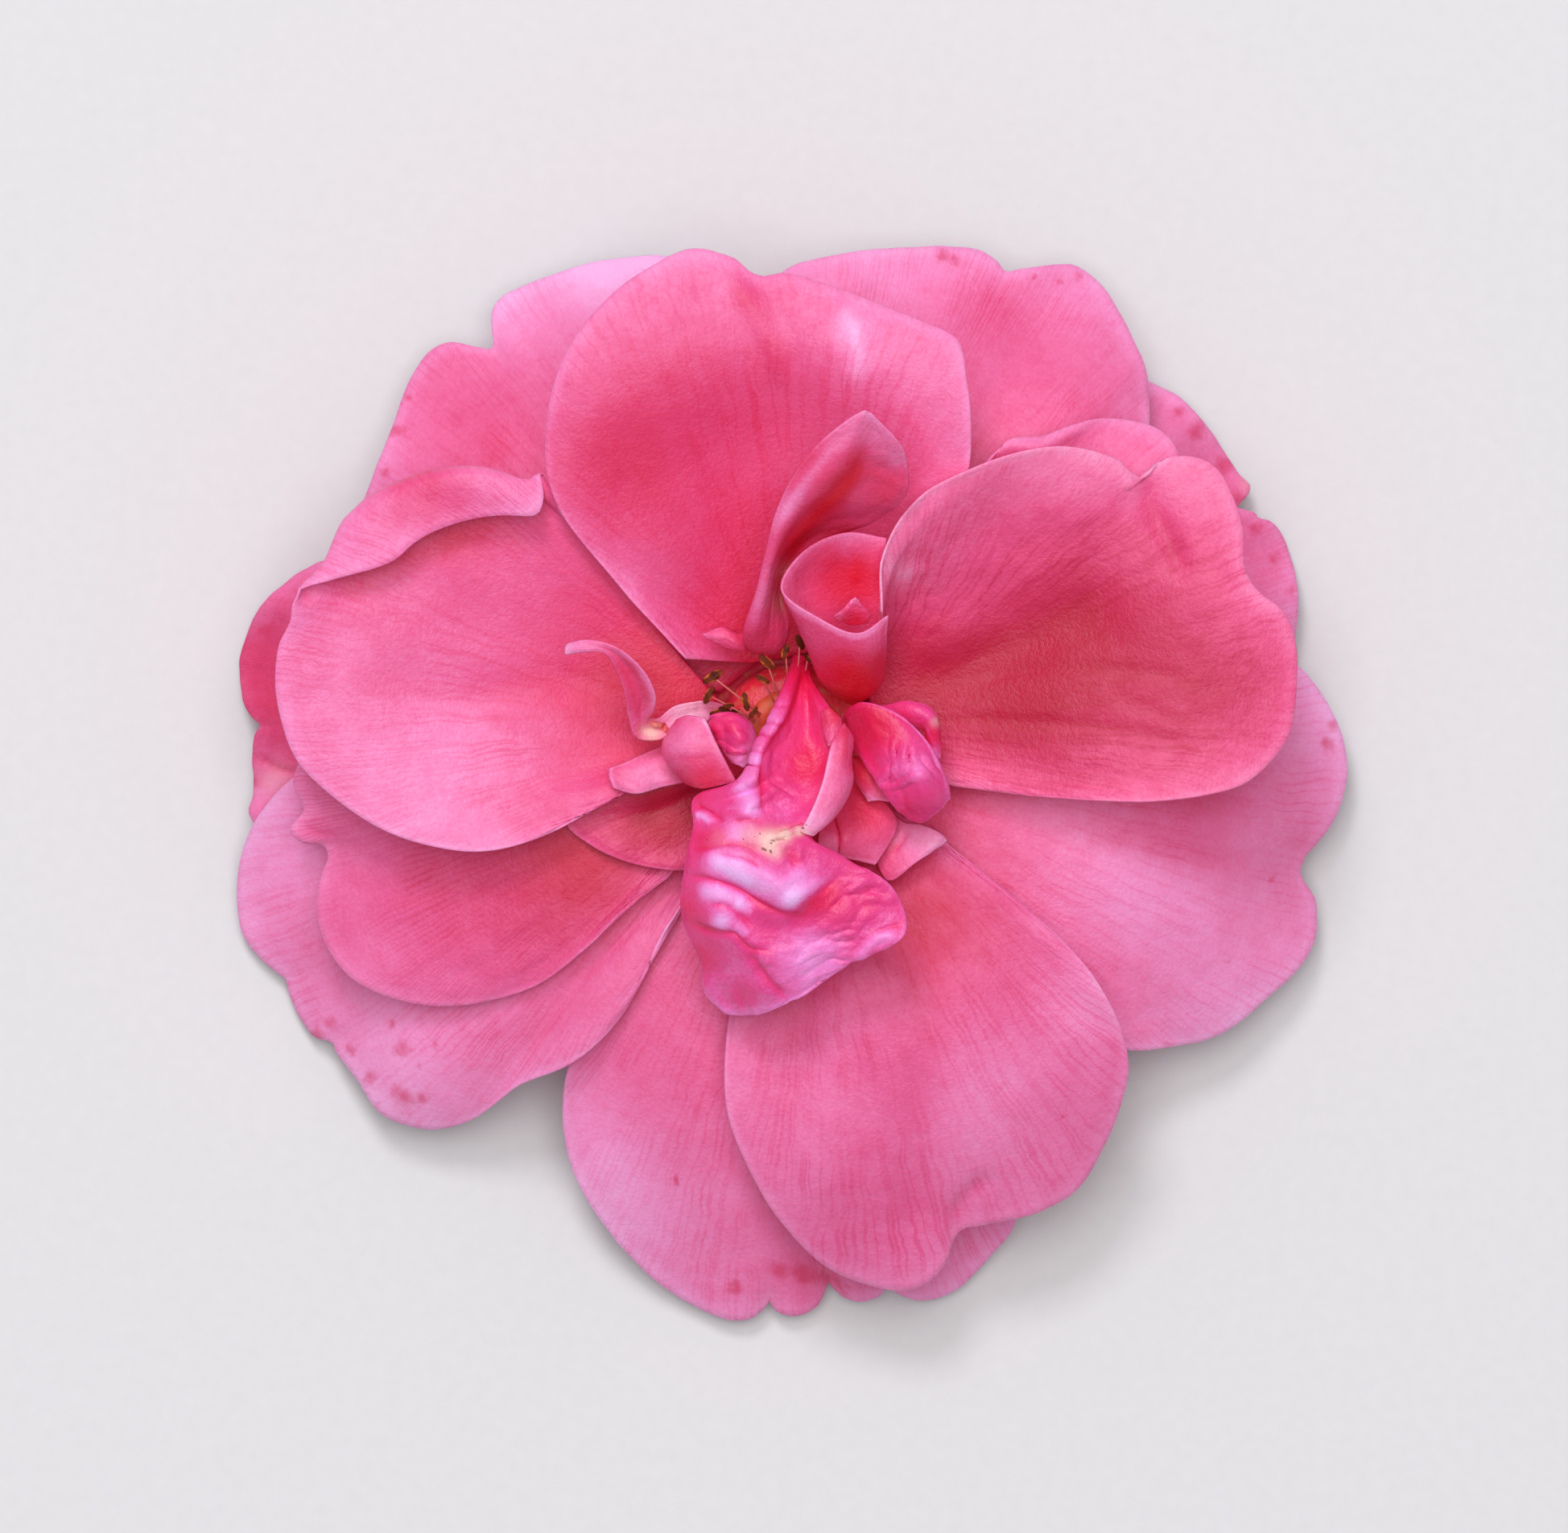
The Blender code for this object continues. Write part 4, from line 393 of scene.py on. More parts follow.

# What the solids leave out of each petal, at places as seen from above. tones are (x, y, radius, amount),
# above 0 for deeper red and below 0 for paler lilac. Some are the petal's own deep and pale places. Some
# are painted shade, where a petal lies in another's shade or in a crease. Some are painted highlights on
# crests and on slopes that face the light. The notes at the petals say which. spots are raspberry marks and
# specks brown ones: (x, y, radius). cream is where the petal has no red, and on the hood it is painted
# light:
# (x, y, radius, amount). nicks are notches in the rim: (x, y, depth, width). lines are pressed into the
# blade,
# or raised where the depth is below 0: each has its depth, width and tone after its places. On some lines
# that tone is painted shade in a crease, and on others it is a painted highlight on a crest. crinkles are
# patches
# of fine wrinkles: (x, y, radius, direction in degrees, height, spacing).
PETAL_MARKS = {
    "guard_petal_left": dict(
        tones_and_painted_light=[(-41, 4, 9, 0.95), (-39.6, -3.4, 2, -0.4)],
        spots=[(-41.5, 4.2, 0.7), (-40.5, 8.5, 0.6), (-41.4, -3.2, 0.6), (-40.6, 1.4, 0.5)],
        cream=[(-39.6, -3.2, 1.3, 0.25)], nicks=[(-41.2, 1.2, 0.6, 0.5)],
        lines=[((-41.2, -1), (-39.4, -2.2), (-37.6, -2.6), 0.35, 0.3, 0.3),
               ((-38.2, -2.8), (-39.6, -4.4), (-40.8, -5.6), 0.3, 0.3, 0.2)]),
    "guard_petal_upper_left": dict(
        tones_and_painted_light=[(-8, 37, 6, -0.6), (-15, 36, 4, -0.6), (-22, 33, 3, -0.4), (-25, 25, 7, 0.4)],
        spots=[(-30.4, 23.6, 0.7), (-31.2, 20.5, 0.4), (-29.5, 26.3, 0.35)],
        nicks=[(-23.2, 30.4, 0.8, 0.7)], lines=[((-13, 36.6), (-8, 34.4), (-5, 33.2), 0.25, 0.6, 0.1)]),
    "guard_petal_right": dict(
        tones_and_painted_light=[(34, 20, 5, 0.5), (36, 10, 6, 0.1)],
        spots=[(31, 23.6, 0.8), (33, 21, 0.9), (34.2, 18.4, 0.7), (29.6, 25.2, 0.5), (36.8, 13.8, 0.5),
               (38, 11.4, 0.5), (35.4, 16.2, 0.6)],
        cream=[(34.8, 19.6, 0.6, 0.25)], nicks=[(34.7, 18.2, 0.8, 0.35), (36, 17.3, 0.4, 0.4)]),
    "guard_petal_bottom": dict(
        tones_and_painted_light=[(2, -41, 4, 0.35), (-14, -35, 6, -0.35), (-9, -24, 6, 0.1)],
        spots=[(-1, -40.6, 0.7), (0.8, -40.8, 0.8), (2.6, -41.2, 0.7), (-4.4, -41.8, 0.6), (-1.6, -43, 0.5),
               (-8.9, -33.6, 0.35), (4, -42, 0.5)],
        nicks=[(-1.9, -44, 1, 0.45), (2.8, -42.6, 1.1, 0.5), (7.4, -42.5, 0.8, 0.35)]),
    # The deep tone along its top edge, at (30, -4.5), is painted shadow cast by front_petal_right.
    "guard_petal_lower_right": dict(
        tones_and_painted_light=[(41, 2, 5, -0.3), (33, -19, 6, -0.25), (26, -11, 6, -0.45), (30, -4.5, 5, 0.35),
               (18, -6, 4, -0.2), (40, -8, 3, 0.25)],
        spots=[(40.8, -0.3, 0.6), (41.3, 1.2, 0.5), (36.5, -10.6, 0.35), (33.3, -16.9, 0.3),
               (28.4, -23.2, 0.3)],
        nicks=[(39.3, -10, 0.5, 1.2), (39.8, -8.9, 0.3, 0.3)],
        lines=[((20, -5.5), (30, -8.6), (38, -9.6), 0.3, 1.2, 0.2)]),
    "guard_petal_top": dict(
        tones_and_painted_light=[(15.5, 33, 2.5, 0.35), (8, 36, 5, -0.15), (20, 27, 7, 0.2)],
        spots=[(11.4, 37, 0.5), (12.4, 36.6, 0.35), (21.8, 35.3, 0.4), (20.4, 34.9, 0.3),
               (18.4, 35.4, 0.3)],
        nicks=[(16.4, 36.2, 0.4, 0.6)]),
    "guard_petal_lower_left": dict(
        tones_and_painted_light=[(-40, -10, 6, -0.35), (-30, -25, 6, -0.35)],
        spots=[(-29.9, -23.6, 0.75), (-27.3, -23.2, 0.4), (-29.8, -27.3, 1), (-30.6, -21.8, 0.35),
               (-32.4, -25.8, 0.6), (-28.3, -27.4, 0.5), (-36.6, -22.6, 0.6), (-28.6, -24.8, 0.35),
               (-35.4, -21.6, 0.5), (-33.8, -23.8, 0.4), (-31.8, -28, 0.5)],
        nicks=[(-39, -18.4, 0.4, 0.6), (-35.8, -23.4, 0.5, 0.6)]),
    "middle_petal_upper_right": dict(
        tones_and_painted_light=[(22, 21, 4, 0.15)],
        lines=[((14.4, 21.4), (16.4, 22.4), (18.4, 22.2), (20.4, 23.2), (23, 24.2), -0.3, 0.4, -0.2),
               ((14.6, 20.6), (17, 21.6), (19.6, 21.9), 0.25, 0.4, 0.3)]),
    # Its deep tones at (-20, -11) and (-16, -10) are partly its own deep foot. They are also partly painted
    # shade under the lower edge of front_petal_left.
    "middle_petal_left": dict(
        tones_and_painted_light=[(-20, -11, 10, 0.42), (-16, -10, 4, 0.45), (-33, -14, 5, 0.1)],
        lines=[((-38, -6.4), (-35.6, -7.2), (-34, -7.4), 0.3, 0.5, 0.2)]),
    # The deep tone at (11, -14), by its foot, is partly its own deep colour and partly painted shade.
    "middle_petal_bottom": dict(
        tones_and_painted_light=[(10, -30, 4, -0.05), (22, -20, 3, -0.35), (3, -26, 5, -0.1), (11, -14, 4, 0.5),
               (14, -26, 6, -0.4)],
        spots=[(13.4, -35.6, 0.25), (20.5, -28.5, 0.25)], nicks=[(13, -37.6, 0.4, 0.8)],
        lines=[((6, -12), (3, -22), (2, -32), (3, -38), -0.3, 2, -0.2),
               ((9, -12), (10, -24), (9, -36), (8, -41), 0.3, 2, 0.16),
               ((12, -37), (13.6, -34.2), (15.4, -33), 0.3, 0.6, 0.1)]),
    # Its deep tones are partly its own deep colour. They are also partly painted shade under the lower edge
    # of front_petal_left.
    "front_petal_small": dict(tones_and_painted_light=[(-12, -7, 5, 0.5), (-9.6, -5.6, 2.2, 0.9)]),
    # The deep tone at (-12, 5) is painted shadow cast by front_petal_top. The deep tones at (-28, 18.5) and
    # (-24, 15.5), and the last line, which is not pressed, are painted shade under and along the rolled
    # rim.
    "front_petal_left": dict(
        tones_and_painted_light=[(-27, -3, 7, -0.42), (-26, 6, 8, -0.12), (-12, 5, 5, 0.3), (-33, 16, 4, -0.1),
               (-28, 18.5, 4, 0.5), (-24, 15.5, 3, 0.2)],
        lines=[((-36.3, 11.9), (-37.4, 10.6), 0.4, 0.4, 0.1),
               ((-12, 3.8), (-18, 4.4), (-26, 3.4), (-34, 5.6), 0.3, 1.6, 0.14),
               ((-36, 10.6), (-31, 13), (-26, 15), (-21, 17), 0, 0.9, 0.35)]),
    # Its deep middle, the tones at (-8, 24) and (-13, 21), is partly its own colour and partly painted
    # shade on a slope turned from the light. The pale streak near (5, 30), in the tones and the raised line
    # there, is a painted highlight.
    "front_petal_top": dict(
        tones_and_painted_light=[(-8, 24, 9, 0.3), (-13, 21, 5, 0.4), (-4, 12, 6, 0.12), (4.6, 31, 1.6, -0.5),
               (5, 28.2, 1.2, -0.35), (-3, 33.5, 1.5, 0.35), (-1.6, 29, 1.5, 0.2), (8.5, 26, 4.5, -0.12),
               (11, 20, 2.5, -0.1), (-13, 13, 3, -0.25), (-15, 22, 4, 0.15)],
        lines=[((-5.5, 35.6), (-3, 32.5), (-1.2, 28.5), (-1, 26), -0.25, 0.8, 0.15),
               ((3.4, 33.5), (4.6, 31), (4.9, 28.6), (4.2, 26.4), -0.2, 0.6, -0.3)],
        crinkles=[(9.5, 19, 3, 35, 0.07, 0.8)]),
    # The deep trough, in the tones at (23, 7) and (17, 2) and the first line, is partly its own colour and
    # partly painted shade. The pale tone at (10, 13) is painted light on the left lobe.
    "front_petal_right": dict(
        tones_and_painted_light=[(23, 7, 8, 0.8), (10, 13, 5, -0.15), (17, 2, 5, 0.45), (29, 19.5, 3, -0.15),
               (14, -2, 4, -0.25), (34, 4, 5, 0.5), (8.4, 12.6, 1, -0.5), (19, 19, 4, -0.2)],
        lines=[((6.5, 3), (10, 4.6), (15, 6.4), (20, 8.6), (26, 11), 0.5, 2.8, 0.3),
               ((27.6, 21), (27, 18.6), (28.2, 15.6), (30, 12), 0.5, 0.9, 0.2),
               ((6.6, 6), (7.1, 10), (7, 13.5), (8, 16.2), (10.4, 18.8), (14, 20.8), 0.45, 1.1, -0.1),
               ((9, 1.6), (18, 1.4), (27, 0.4), (34, -1.6), 0.15, 0.6, 0.14),
               ((12, 4.4), (20, 5.4), (28, 5), (34, 3.2), 0.12, 0.5, 0.12),
               ((24, 3.6), (29, 1.6), (33, 1.2), 0.12, 0.35, 0.12)],
        crinkles=[(9.6, 12.6, 2.6, -25, 0.13, 0.5), (10.5, 9, 1.8, -15, 0.07, 0.5),
                  (26, 14, 4, 50, 0.08, 1.2)]),
    # The pale first line is painted light on the outer fold's wall that faces the light. The deep second
    # line is partly its own deep red and partly painted shade in the valley, and the cream marks paint
    # light there.
    "inner_petal_hood": dict(
        tones_and_painted_light=[(1, 20.8, 2.4, 0.6), (-1.8, 14, 2.5, 0.4), (6.9, 19.4, 2.2, 0.55), (7.6, 21.2, 1, -0.35),
               (-2.4, 8, 1.6, 0.2), (3.4, 16.4, 2, 0.4)],
        cream=[(-0.9, 10.6, 0.8, 0.5), (-0.6, 12.6, 0.7, 0.4)],
        lines=[((-3.4, 7.6), (-2.5, 10.8), (-1.9, 13.4), (-0.9, 16.6), (1.3, 19.9), (4.2, 23.2), 0, 0.5,
                -0.45),
               ((-1.2, 12.4), (-0.6, 14.4), (1.2, 16.8), (3.3, 18.9), (4.6, 20.9), (5.3, 23.6), 0.15, 0.9,
                0.9)],
        crinkles=[(6.9, 20.2, 1.6, 6, 0.12, 0.45), (7, 18, 1.2, 8, 0.08, 0.45)]),
    "inner_petal_fringe": dict(tones_and_painted_light=[(-5.5, 8, 1.5, -0.1)], crinkles=[(-5, 7.8, 1.5, 20, 0.05, 0.5)]),
    "inner_petal_cornet": dict(
        tones_and_painted_light=[(3, 12.8, 3, 0.7), (5.6, 12, 2, 0.5), (4.6, 4.2, 2, 1), (3.4, 6.4, 1.8, 0.35),
               (4.2, 14.6, 0.9, -0.3), (6.6, 6, 1, 0.3)],
        lines=[((-1.6, 11.6), (-0.6, 10.6), (1.8, 9.1), (4.9, 7.8), (7.6, 9.6), 0, 0.2, -0.35),
               ((4.2, 15.2), (4.8, 13.4), (4.4, 11.6), 0.1, 0.4, 0.2)],
        crinkles=[(2.6, 13.4, 1.6, 60, 0.05, 0.6)]),
    "inner_petal_heart": dict(tones_and_painted_light=[(4.6, 9.2, 1.4, 0.5), (3.4, 9.3, 0.5, -0.6)]),
    "inner_petal_strap": dict(
        tones_and_painted_light=[(-8, 2, 2.4, -1), (-16.4, 6.9, 1.4, -0.2), (-11.6, 3.4, 1.6, 0.45), (-12.6, 5.6, 1.4, 0.5)],
        cream=[(-7.8, 2.2, 2, 0.28), (-10.6, 0.5, 0.7, 0.7), (-11.3, 0.7, 0.5, 0.4)],
        specks=[(-6.8, 2.5, 0.07), (-7.4, 1.7, 0.06)],
        lines=[((-11, 1.6), (-10.6, 1.25), (-10.2, 1.15), (-9.9, 1.1), (-9.75, 0.8), (-9.2, 0.4), 0.35, 0.1,
                2.2),
               ((-10.3, 2), (-10.5, 3.4), (-11.1, 4.8), (-12.2, 6.2), (-13.6, 7.2), 0, 0.25, -0.4),
               ((-11.3, 1), (-12, 2.6), (-12.6, 4.6), (-13.6, 6.2), 0, 0.2, 0.1)],
        crinkles=[(-11.4, 2.6, 0.8, 80, 0.08, 0.35), (-8, 2.3, 1.5, 100, 0.08, 0.4)]),
    "inner_petal_tongue": dict(tones_and_painted_light=[(-10.5, -3.2, 2.4, -0.5), (-13.2, -2.5, 0.6, 0.1)]),
    "inner_petal_roll": dict(
        tones_and_painted_light=[(-8.6, 0.2, 1.6, -0.25), (-6.6, -3, 1.8, 0.5)], cream=[(-5.4, -0.2, 0.4, 0.4)],
        lines=[((-7.6, 1.8), (-6, 0.8), (-5.2, -0.9), (-4.2, -2.6), 0, 0.2, -0.5),
               ((-9, -1), (-7.8, -1.4), (-6.4, -1.3), 0.08, 0.3, 0.12)],
        crinkles=[(-7.6, -1.2, 2.2, 10, 0.03, 0.5)]),
    "inner_petal_dome": dict(
        tones_and_painted_light=[(-4.4, 0.8, 1.3, 0.35), (-5.2, 1.6, 0.8, 0.3), (-3.8, -1.8, 0.9, -0.4)],
        lines=[((-6.4, 1.3), (-5.6, 0.8), (-5.4, 0), (-5, -0.5), 0.3, 0.24, 0.3),
               ((-5.2, 0.9), (-4.4, 0.7), (-3.6, -0.4), 0.16, 0.3, 0.2),
               ((-5, -0.6), (-4.2, -0.8), (-3.5, -0.7), 0.25, 0.18, 0.3)],
        crinkles=[(-4, -1.8, 0.8, 60, 0.08, 0.35)]),
    # Its pale tones, and the raised lines that turn paler, are painted highlights on the folds and the
    # ridge. The pressed lines that turn deeper are painted shade in the creases. Its deep tones are partly
    # its own magenta and partly painted shade.
    "inner_petal_centre": dict(
        tones_and_painted_light=[(0.9, 4.6, 1.8, 0.55), (1.2, -1.8, 1.8, 0.5), (-6.4, -11.6, 1.3, -0.3),
               (-0.6, -5.4, 1.5, -0.25), (0.6, -3.6, 1.2, -0.05), (-3.5, -4, 0.9, -0.75),
               (-3, -5.4, 0.8, -0.45), (-2.8, -1.6, 0.7, -0.5), (-1.6, 1.2, 0.8, -0.35),
               (-4.2, -7, 0.9, -0.6), (-6.8, -4.6, 0.9, 0.25), (-6.6, -5.8, 0.9, -0.4),
               (-6.6, -7.6, 1.1, 0.35), (0.2, -8.9, 0.9, 0.2), (0.2, -10.6, 1.3, -0.5),
               (-0.4, -11.9, 0.9, -0.7), (5.4, -10.2, 1.2, -0.05), (5, -12.6, 2, 0.2),
               (2.4, -12.6, 1.4, 0.4), (1.4, -16.6, 2.2, -0.45), (-2, -14.6, 1.5, 0.1),
               (-7.6, -12.6, 1.4, 0.45), (-7.2, -16.4, 1.6, 0.5), (-3.6, -19.4, 1.4, 0.3),
               (7, -14.4, 1.1, -0.25), (-5.4, -13.6, 0.7, -0.8), (-1.5, -9.2, 0.8, 0)],
        cream=[(-1.8, -7.6, 0.8, 0.85), (-0.6, -7.2, 0.5, 0.8), (-3.4, -7.2, 0.9, 0.35),
               (-1.5, -8.5, 0.6, 0.5), (0.4, -6.9, 0.35, 0.9), (-5.4, -7.5, 0.8, 0.15)],
        specks=[(-3.2, -7, 0.07), (-2.5, -7.1, 0.08), (-2.9, -7.35, 0.07), (-6.4, -7.6, 0.07),
                (-6, -7.7, 0.05), (-5.7, -7.5, 0.05), (-4.2, -7.7, 0.05), (-3.7, -7.5, 0.05),
                (-2.3, -8.2, 0.13), (-2.1, -8.3, 0.1), (-1.75, -8.35, 0.1), (-1.7, -8.5, 0.08),
                (-1.7, -7.8, 0.08)],
        lines=[((0.2, 5), (-0.8, 2.8), (-2, 0.6), (-3, -1.7), (-3.6, -4), (-3, -6.4), -0.12, 0.8, -0.3),
               ((0.6, 5), (-0.6, 1.4), (-1.8, -0.2), (-2.4, -1.7), (-2.4, -4.4), (-2.1, -6.6), 0.3, 0.26,
                0.4),
               ((-1.9, 2.6), (-1, 2.4), (-0.2, 2.6), 0.06, 0.14, 0.12),
               ((-2.5, 1.1), (-1.5, 1.2), (-0.4, 0.9), 0.14, 0.16, 0.3),
               ((-3, 0.3), (-2.3, 0.3), (-1.4, 0), 0.14, 0.15, 0.3),
               ((-3.5, -0.9), (-2.8, -0.9), (-2, -1.1), 0.08, 0.14, 0.15),
               ((-4, -1.8), (-3.1, -1.95), (-2.2, -2), 0.24, 0.15, 0.4),
               ((-4.6, -3.4), (-3.8, -3.3), (-2.8, -3.6), 0.06, 0.2, 0.1),
               ((-5.2, -5.4), (-4.4, -5.2), (-3.4, -5.3), (-2.2, -5.1), 0.12, 0.22, -0.2),
               ((-4.6, -6.2), (-3.4, -6), (-2.2, -6.2), 0.2, 0.25, 0.3),
               ((-7.6, -5), (-6.6, -5.2), (-5.8, -5.7), (-5, -6.4), 0.2, 0.24, 0.35),
               ((-7.4, -5.6), (-6.6, -5.9), (-6, -6.4), -0.1, 0.2, -0.5),
               ((-7.8, -8.3), (-6.4, -8.2), (-4.8, -7.9), (-3.2, -8.1), (-2.4, -9), 0.16, 0.3, 0.3),
               ((-1.9, -7.6), (-1.2, -7.3), (-0.4, -7), (0.4, -6.75), (1.1, -6.5), -0.22, 0.2, 0),
               ((-1.8, -7.75), (-1.4, -7.55), (-1, -7.5), (-0.5, -7.45), 0.2, 0.07, 2.6),
               ((-1.6, -7.2), (-0.7, -6.9), (0.4, -6.5), (1, -6.2), 0.16, 0.14, 0.4),
               ((-7.4, -8.4), (-5.6, -9), (-4, -9.7), (-2.4, -10.7), (-0.4, -11.6), -0.2, 0.95, -0.72),
               ((-6.4, -9.1), (-5.2, -9.5), (-3.8, -10.3), (-2.4, -10.9), -0.05, 0.5, -0.35),
               ((-5.8, -8.6), (-4.4, -8.9), (-3.2, -9.2), (-2.2, -9.9), 0.12, 0.2, 0.3),
               ((-8.6, -10.1), (-7.2, -10.3), (-5.6, -10.7), (-4, -11.3), (-2.6, -12.2), (-1, -13),
                (1.4, -13.4), 0.3, 0.32, 0.45),
               ((-7.4, -11.3), (-6, -11.4), (-4.6, -11.9), (-3.2, -12.7), -0.15, 0.75, -0.6),
               ((-4.6, -12.2), (-3.6, -12.5), (-2.9, -13), 0, 0.45, -0.4),
               ((-6.6, -12.3), (-5.2, -12.4), (-4, -13.2), (-3, -14.4), 0.18, 0.3, 0.3),
               ((-8, -13.4), (-6.6, -14.2), (-5.4, -14.5), (-4.4, -14.6), (-3.4, -15.6), (-1.2, -16), 0.28,
                0.3, 0.45),
               ((-4.6, -14), (-3.9, -14.3), (-3.4, -14.8), -0.06, 0.4, -0.35),
               ((-1.2, -12.4), (-0.2, -12), (0.8, -11.5), (2, -10.8), (3.6, -9.8), -0.15, 0.5, -0.4),
               ((-0.9, -8.2), (-0.2, -8.8), (0.4, -9.6), 0.1, 0.35, 0.2),
               ((3.6, -9.6), (2.8, -10.8), (1.6, -12.2), (0.2, -13.6), (-1.2, -14.4), 0.25, 0.8, 0.35),
               ((-3.6, -15.6), (-1.8, -18.2), (-0.2, -19.6), 0.3, 0.4, 0.35),
               ((8.2, -15), (6.8, -14.8), (5.6, -15.6), (4.6, -17), -0.2, 0.4, -0.3),
               ((6, -14.6), (7.2, -14.2), (8.4, -13.8), 0.15, 0.3, 0.3)],
        crinkles=[(4.6, -12.2, 2.4, 28, 0.27, 0.44), (5.6, -10.8, 1.4, 20, 0.2, 0.42),
                  (-1, -4.4, 1.5, -50, 0.2, 0.42), (-0.4, -5.8, 1.2, 10, 0.18, 0.42),
                  (0.4, -9.6, 1.4, 60, 0.2, 0.44), (2, -16.2, 2.2, 12, 0.17, 0.45),
                  (-1.4, -2.2, 1, -60, 0.1, 0.36), (-6.6, -5.4, 0.9, -35, 0.12, 0.32),
                  (-5.6, -7.4, 1.4, 10, 0.05, 0.4), (3, -14.4, 1.8, 18, 0.14, 0.4),
                  (-7.6, -13, 1, 80, 0.05, 0.5)]),
    "inner_petal_flap": dict(
        tones_and_painted_light=[(3.6, -2.2, 2.6, -0.15), (1.6, -6.2, 1.2, -0.25), (4.2, -2, 0.8, 0.3)],
        cream=[(0.8, -7, 0.5, 0.6)], specks=[(0.75, -6.65, 0.09), (0.95, -6.4, 0.08)],
        lines=[((3, 0.4), (2.75, -1.2), (2.35, -2.9), (1.6, -4.8), (0.8, -6.8), 0, 0.2, -0.5),
               ((3.8, 1), (3.75, -0.4), (3.6, -1.8), 0.1, 0.2, 0.3)],
        crinkles=[(3.2, -3.6, 1.6, 70, 0.04, 0.4)]),
    "inner_petal_flap_top": dict(
        tones_and_painted_light=[(2.9, 1.6, 0.8, 0.35), (2.4, 1.9, 0.4, -0.3)], crinkles=[(2.8, 1.2, 0.8, 80, 0.06, 0.3)]),
    "inner_petal_ear": dict(
        tones_and_painted_light=[(5.8, 1.4, 2.2, 0.55), (7, 0.6, 1.4, 0.2), (9, -5.4, 1.3, 0.3), (8.2, -1.6, 1.3, -0.25),
               (9.6, -2.2, 0.9, -0.3), (6.6, -3, 0.8, -0.2), (10.4, -4.4, 1, 0.1)],
        lines=[((3.7, 2.4), (4.8, 2.9), (6.4, 2.6), (7.9, 1.9), (9.4, 0.7), (10.7, -1.5), (11.9, -4.4),
                -0.05, 0.1, -0.4),
               ((5.4, 0.2), (6, -1.6), (6.8, -3.2), 0.1, 0.5, 0.15)],
        crinkles=[(8, -1.2, 1.5, 65, 0.2, 0.42), (9.8, -2.2, 1.1, -35, 0.3, 0.45),
                  (8.4, -3.4, 1.6, 10, 0.24, 0.5), (7, -3, 1, 60, 0.22, 0.45),
                  (8.6, -5, 1.2, 80, 0.16, 0.45)]),
    "inner_petal_curl": dict(
        tones_and_painted_light=[(9, 2.2, 1.4, 0.1), (10.4, 0.2, 1, 0.9), (8.2, 1.6, 0.8, 0.3)],
        cream=[(10.8, 1.4, 0.35, 0.6)], lines=[((10, 1.4), (10.5, 0.2), (10.8, -1.4), 0, 0.16, -0.6)]),
    "inner_petal_side": dict(
        tones_and_painted_light=[(5.2, -2.4, 1.4, 0.45), (5.9, -4.4, 0.6, -0.5)], crinkles=[(5.6, -3.2, 1.2, 70, 0.05, 0.4)]),
    "inner_petal_fold": dict(
        tones_and_painted_light=[(5.4, -6, 2, 0.3), (2.6, -7.8, 0.8, -0.5), (5.8, -7.8, 1.4, -0.2)],
        lines=[((3, -5.4), (3.5, -7.4), (3.4, -9), 0.4, 0.16, 0.5)],
        crinkles=[(5.4, -6.6, 2, 80, 0.05, 0.5)]),
    "inner_petal_corner": dict(
        tones_and_painted_light=[(9.6, -7.4, 2.4, -0.6), (7.6, -8.2, 0.9, 0.1)],
        lines=[((7.4, -8.8), (8.2, -7.8), (8.8, -6.8), 0.15, 0.3, 0.25)]),
}

# The anthers that stand in the open side of the bloom: (x, y, height over the hip, turn in degrees, size).
ANTHERS = [
    (-6.1, 4.8, 2.2, 32, 1), (-6.4, 3.4, 1.9, 62, 0.85), (-4.9, 2.6, 1.8, 4, 0.55),
    (-3.6, 2.9, 2, 102, 0.85), (-3, 2.1, 1.6, 58, 0.6), (-2.3, 4.6, 2.4, -28, 0.7),
    (-2, 5.9, 2.5, -42, 0.95), (-0.6, 6.7, 2.6, 72, 0.75), (0.5, 7.4, 2.3, -66, 0.8),
    (1.1, 6.2, 2, -50, 0.5), (-5.9, 2.1, 1.4, 20, 0.6), (-5.2, 2.3, 1.3, -20, 0.6),
    (-4.4, 2.2, 1.2, 10, 0.5),
]
# The disc that they stand on has this inner and outer radius and this height.
STAMEN_RING, STAMEN_RING_HEIGHT = (2.3, 3.9), 0.7

# The styles stand in rings of (radius, how many). The thickness, the bend and the size of the head of each
# filament and style are in millimetres, and the head's groove is a share of its depth.
STYLE_RINGS = ((0, 1), (0.8, 5), (1.3, 8))
STYLE_PAD_RADIUS, STYLE_PAD_HEIGHT, STYLE_LENGTH = 1.7, 0.8, 2
FILAMENT, STYLE = (0.15, 0.5, (1.75, 0.72, 0.5), 0.55), (0.34, 0, (0.45, 0.62, 0.62), 0.3)

# The lamps: their place, size, power and colour.
LAMPS = {
    "overhead": ((0, 0.25, 2.2), 1.6, 26, (1, 0.98, 1)),
    "key": ((-0.2, 0.7, 1), 0.36, 5, (0.94, 0.9, 1)),
}
LAMPS_AIM = (0, 0, 0.015)

# The camera looks straight down, and its frame is VIEW_WIDTH wide at the height of VIEW_LEVEL.
VIEW_MIDDLE, VIEW_WIDTH, VIEW_DISTANCE, VIEW_LEVEL = (-0.627, 1.342), 119.6, 1300, 10


def between(values, slopes, before, t, span=1):
    """The values at shares t of the way from some places of a row to the next, along a smooth curve."""
    return ((2 * t**3 - 3 * t**2 + 1) * values[before] + (t**3 - 2 * t**2 + t) * span * slopes[before]
            + (3 * t**2 - 2 * t**3) * values[before + 1] + (t**3 - t**2) * span * slopes[before + 1])


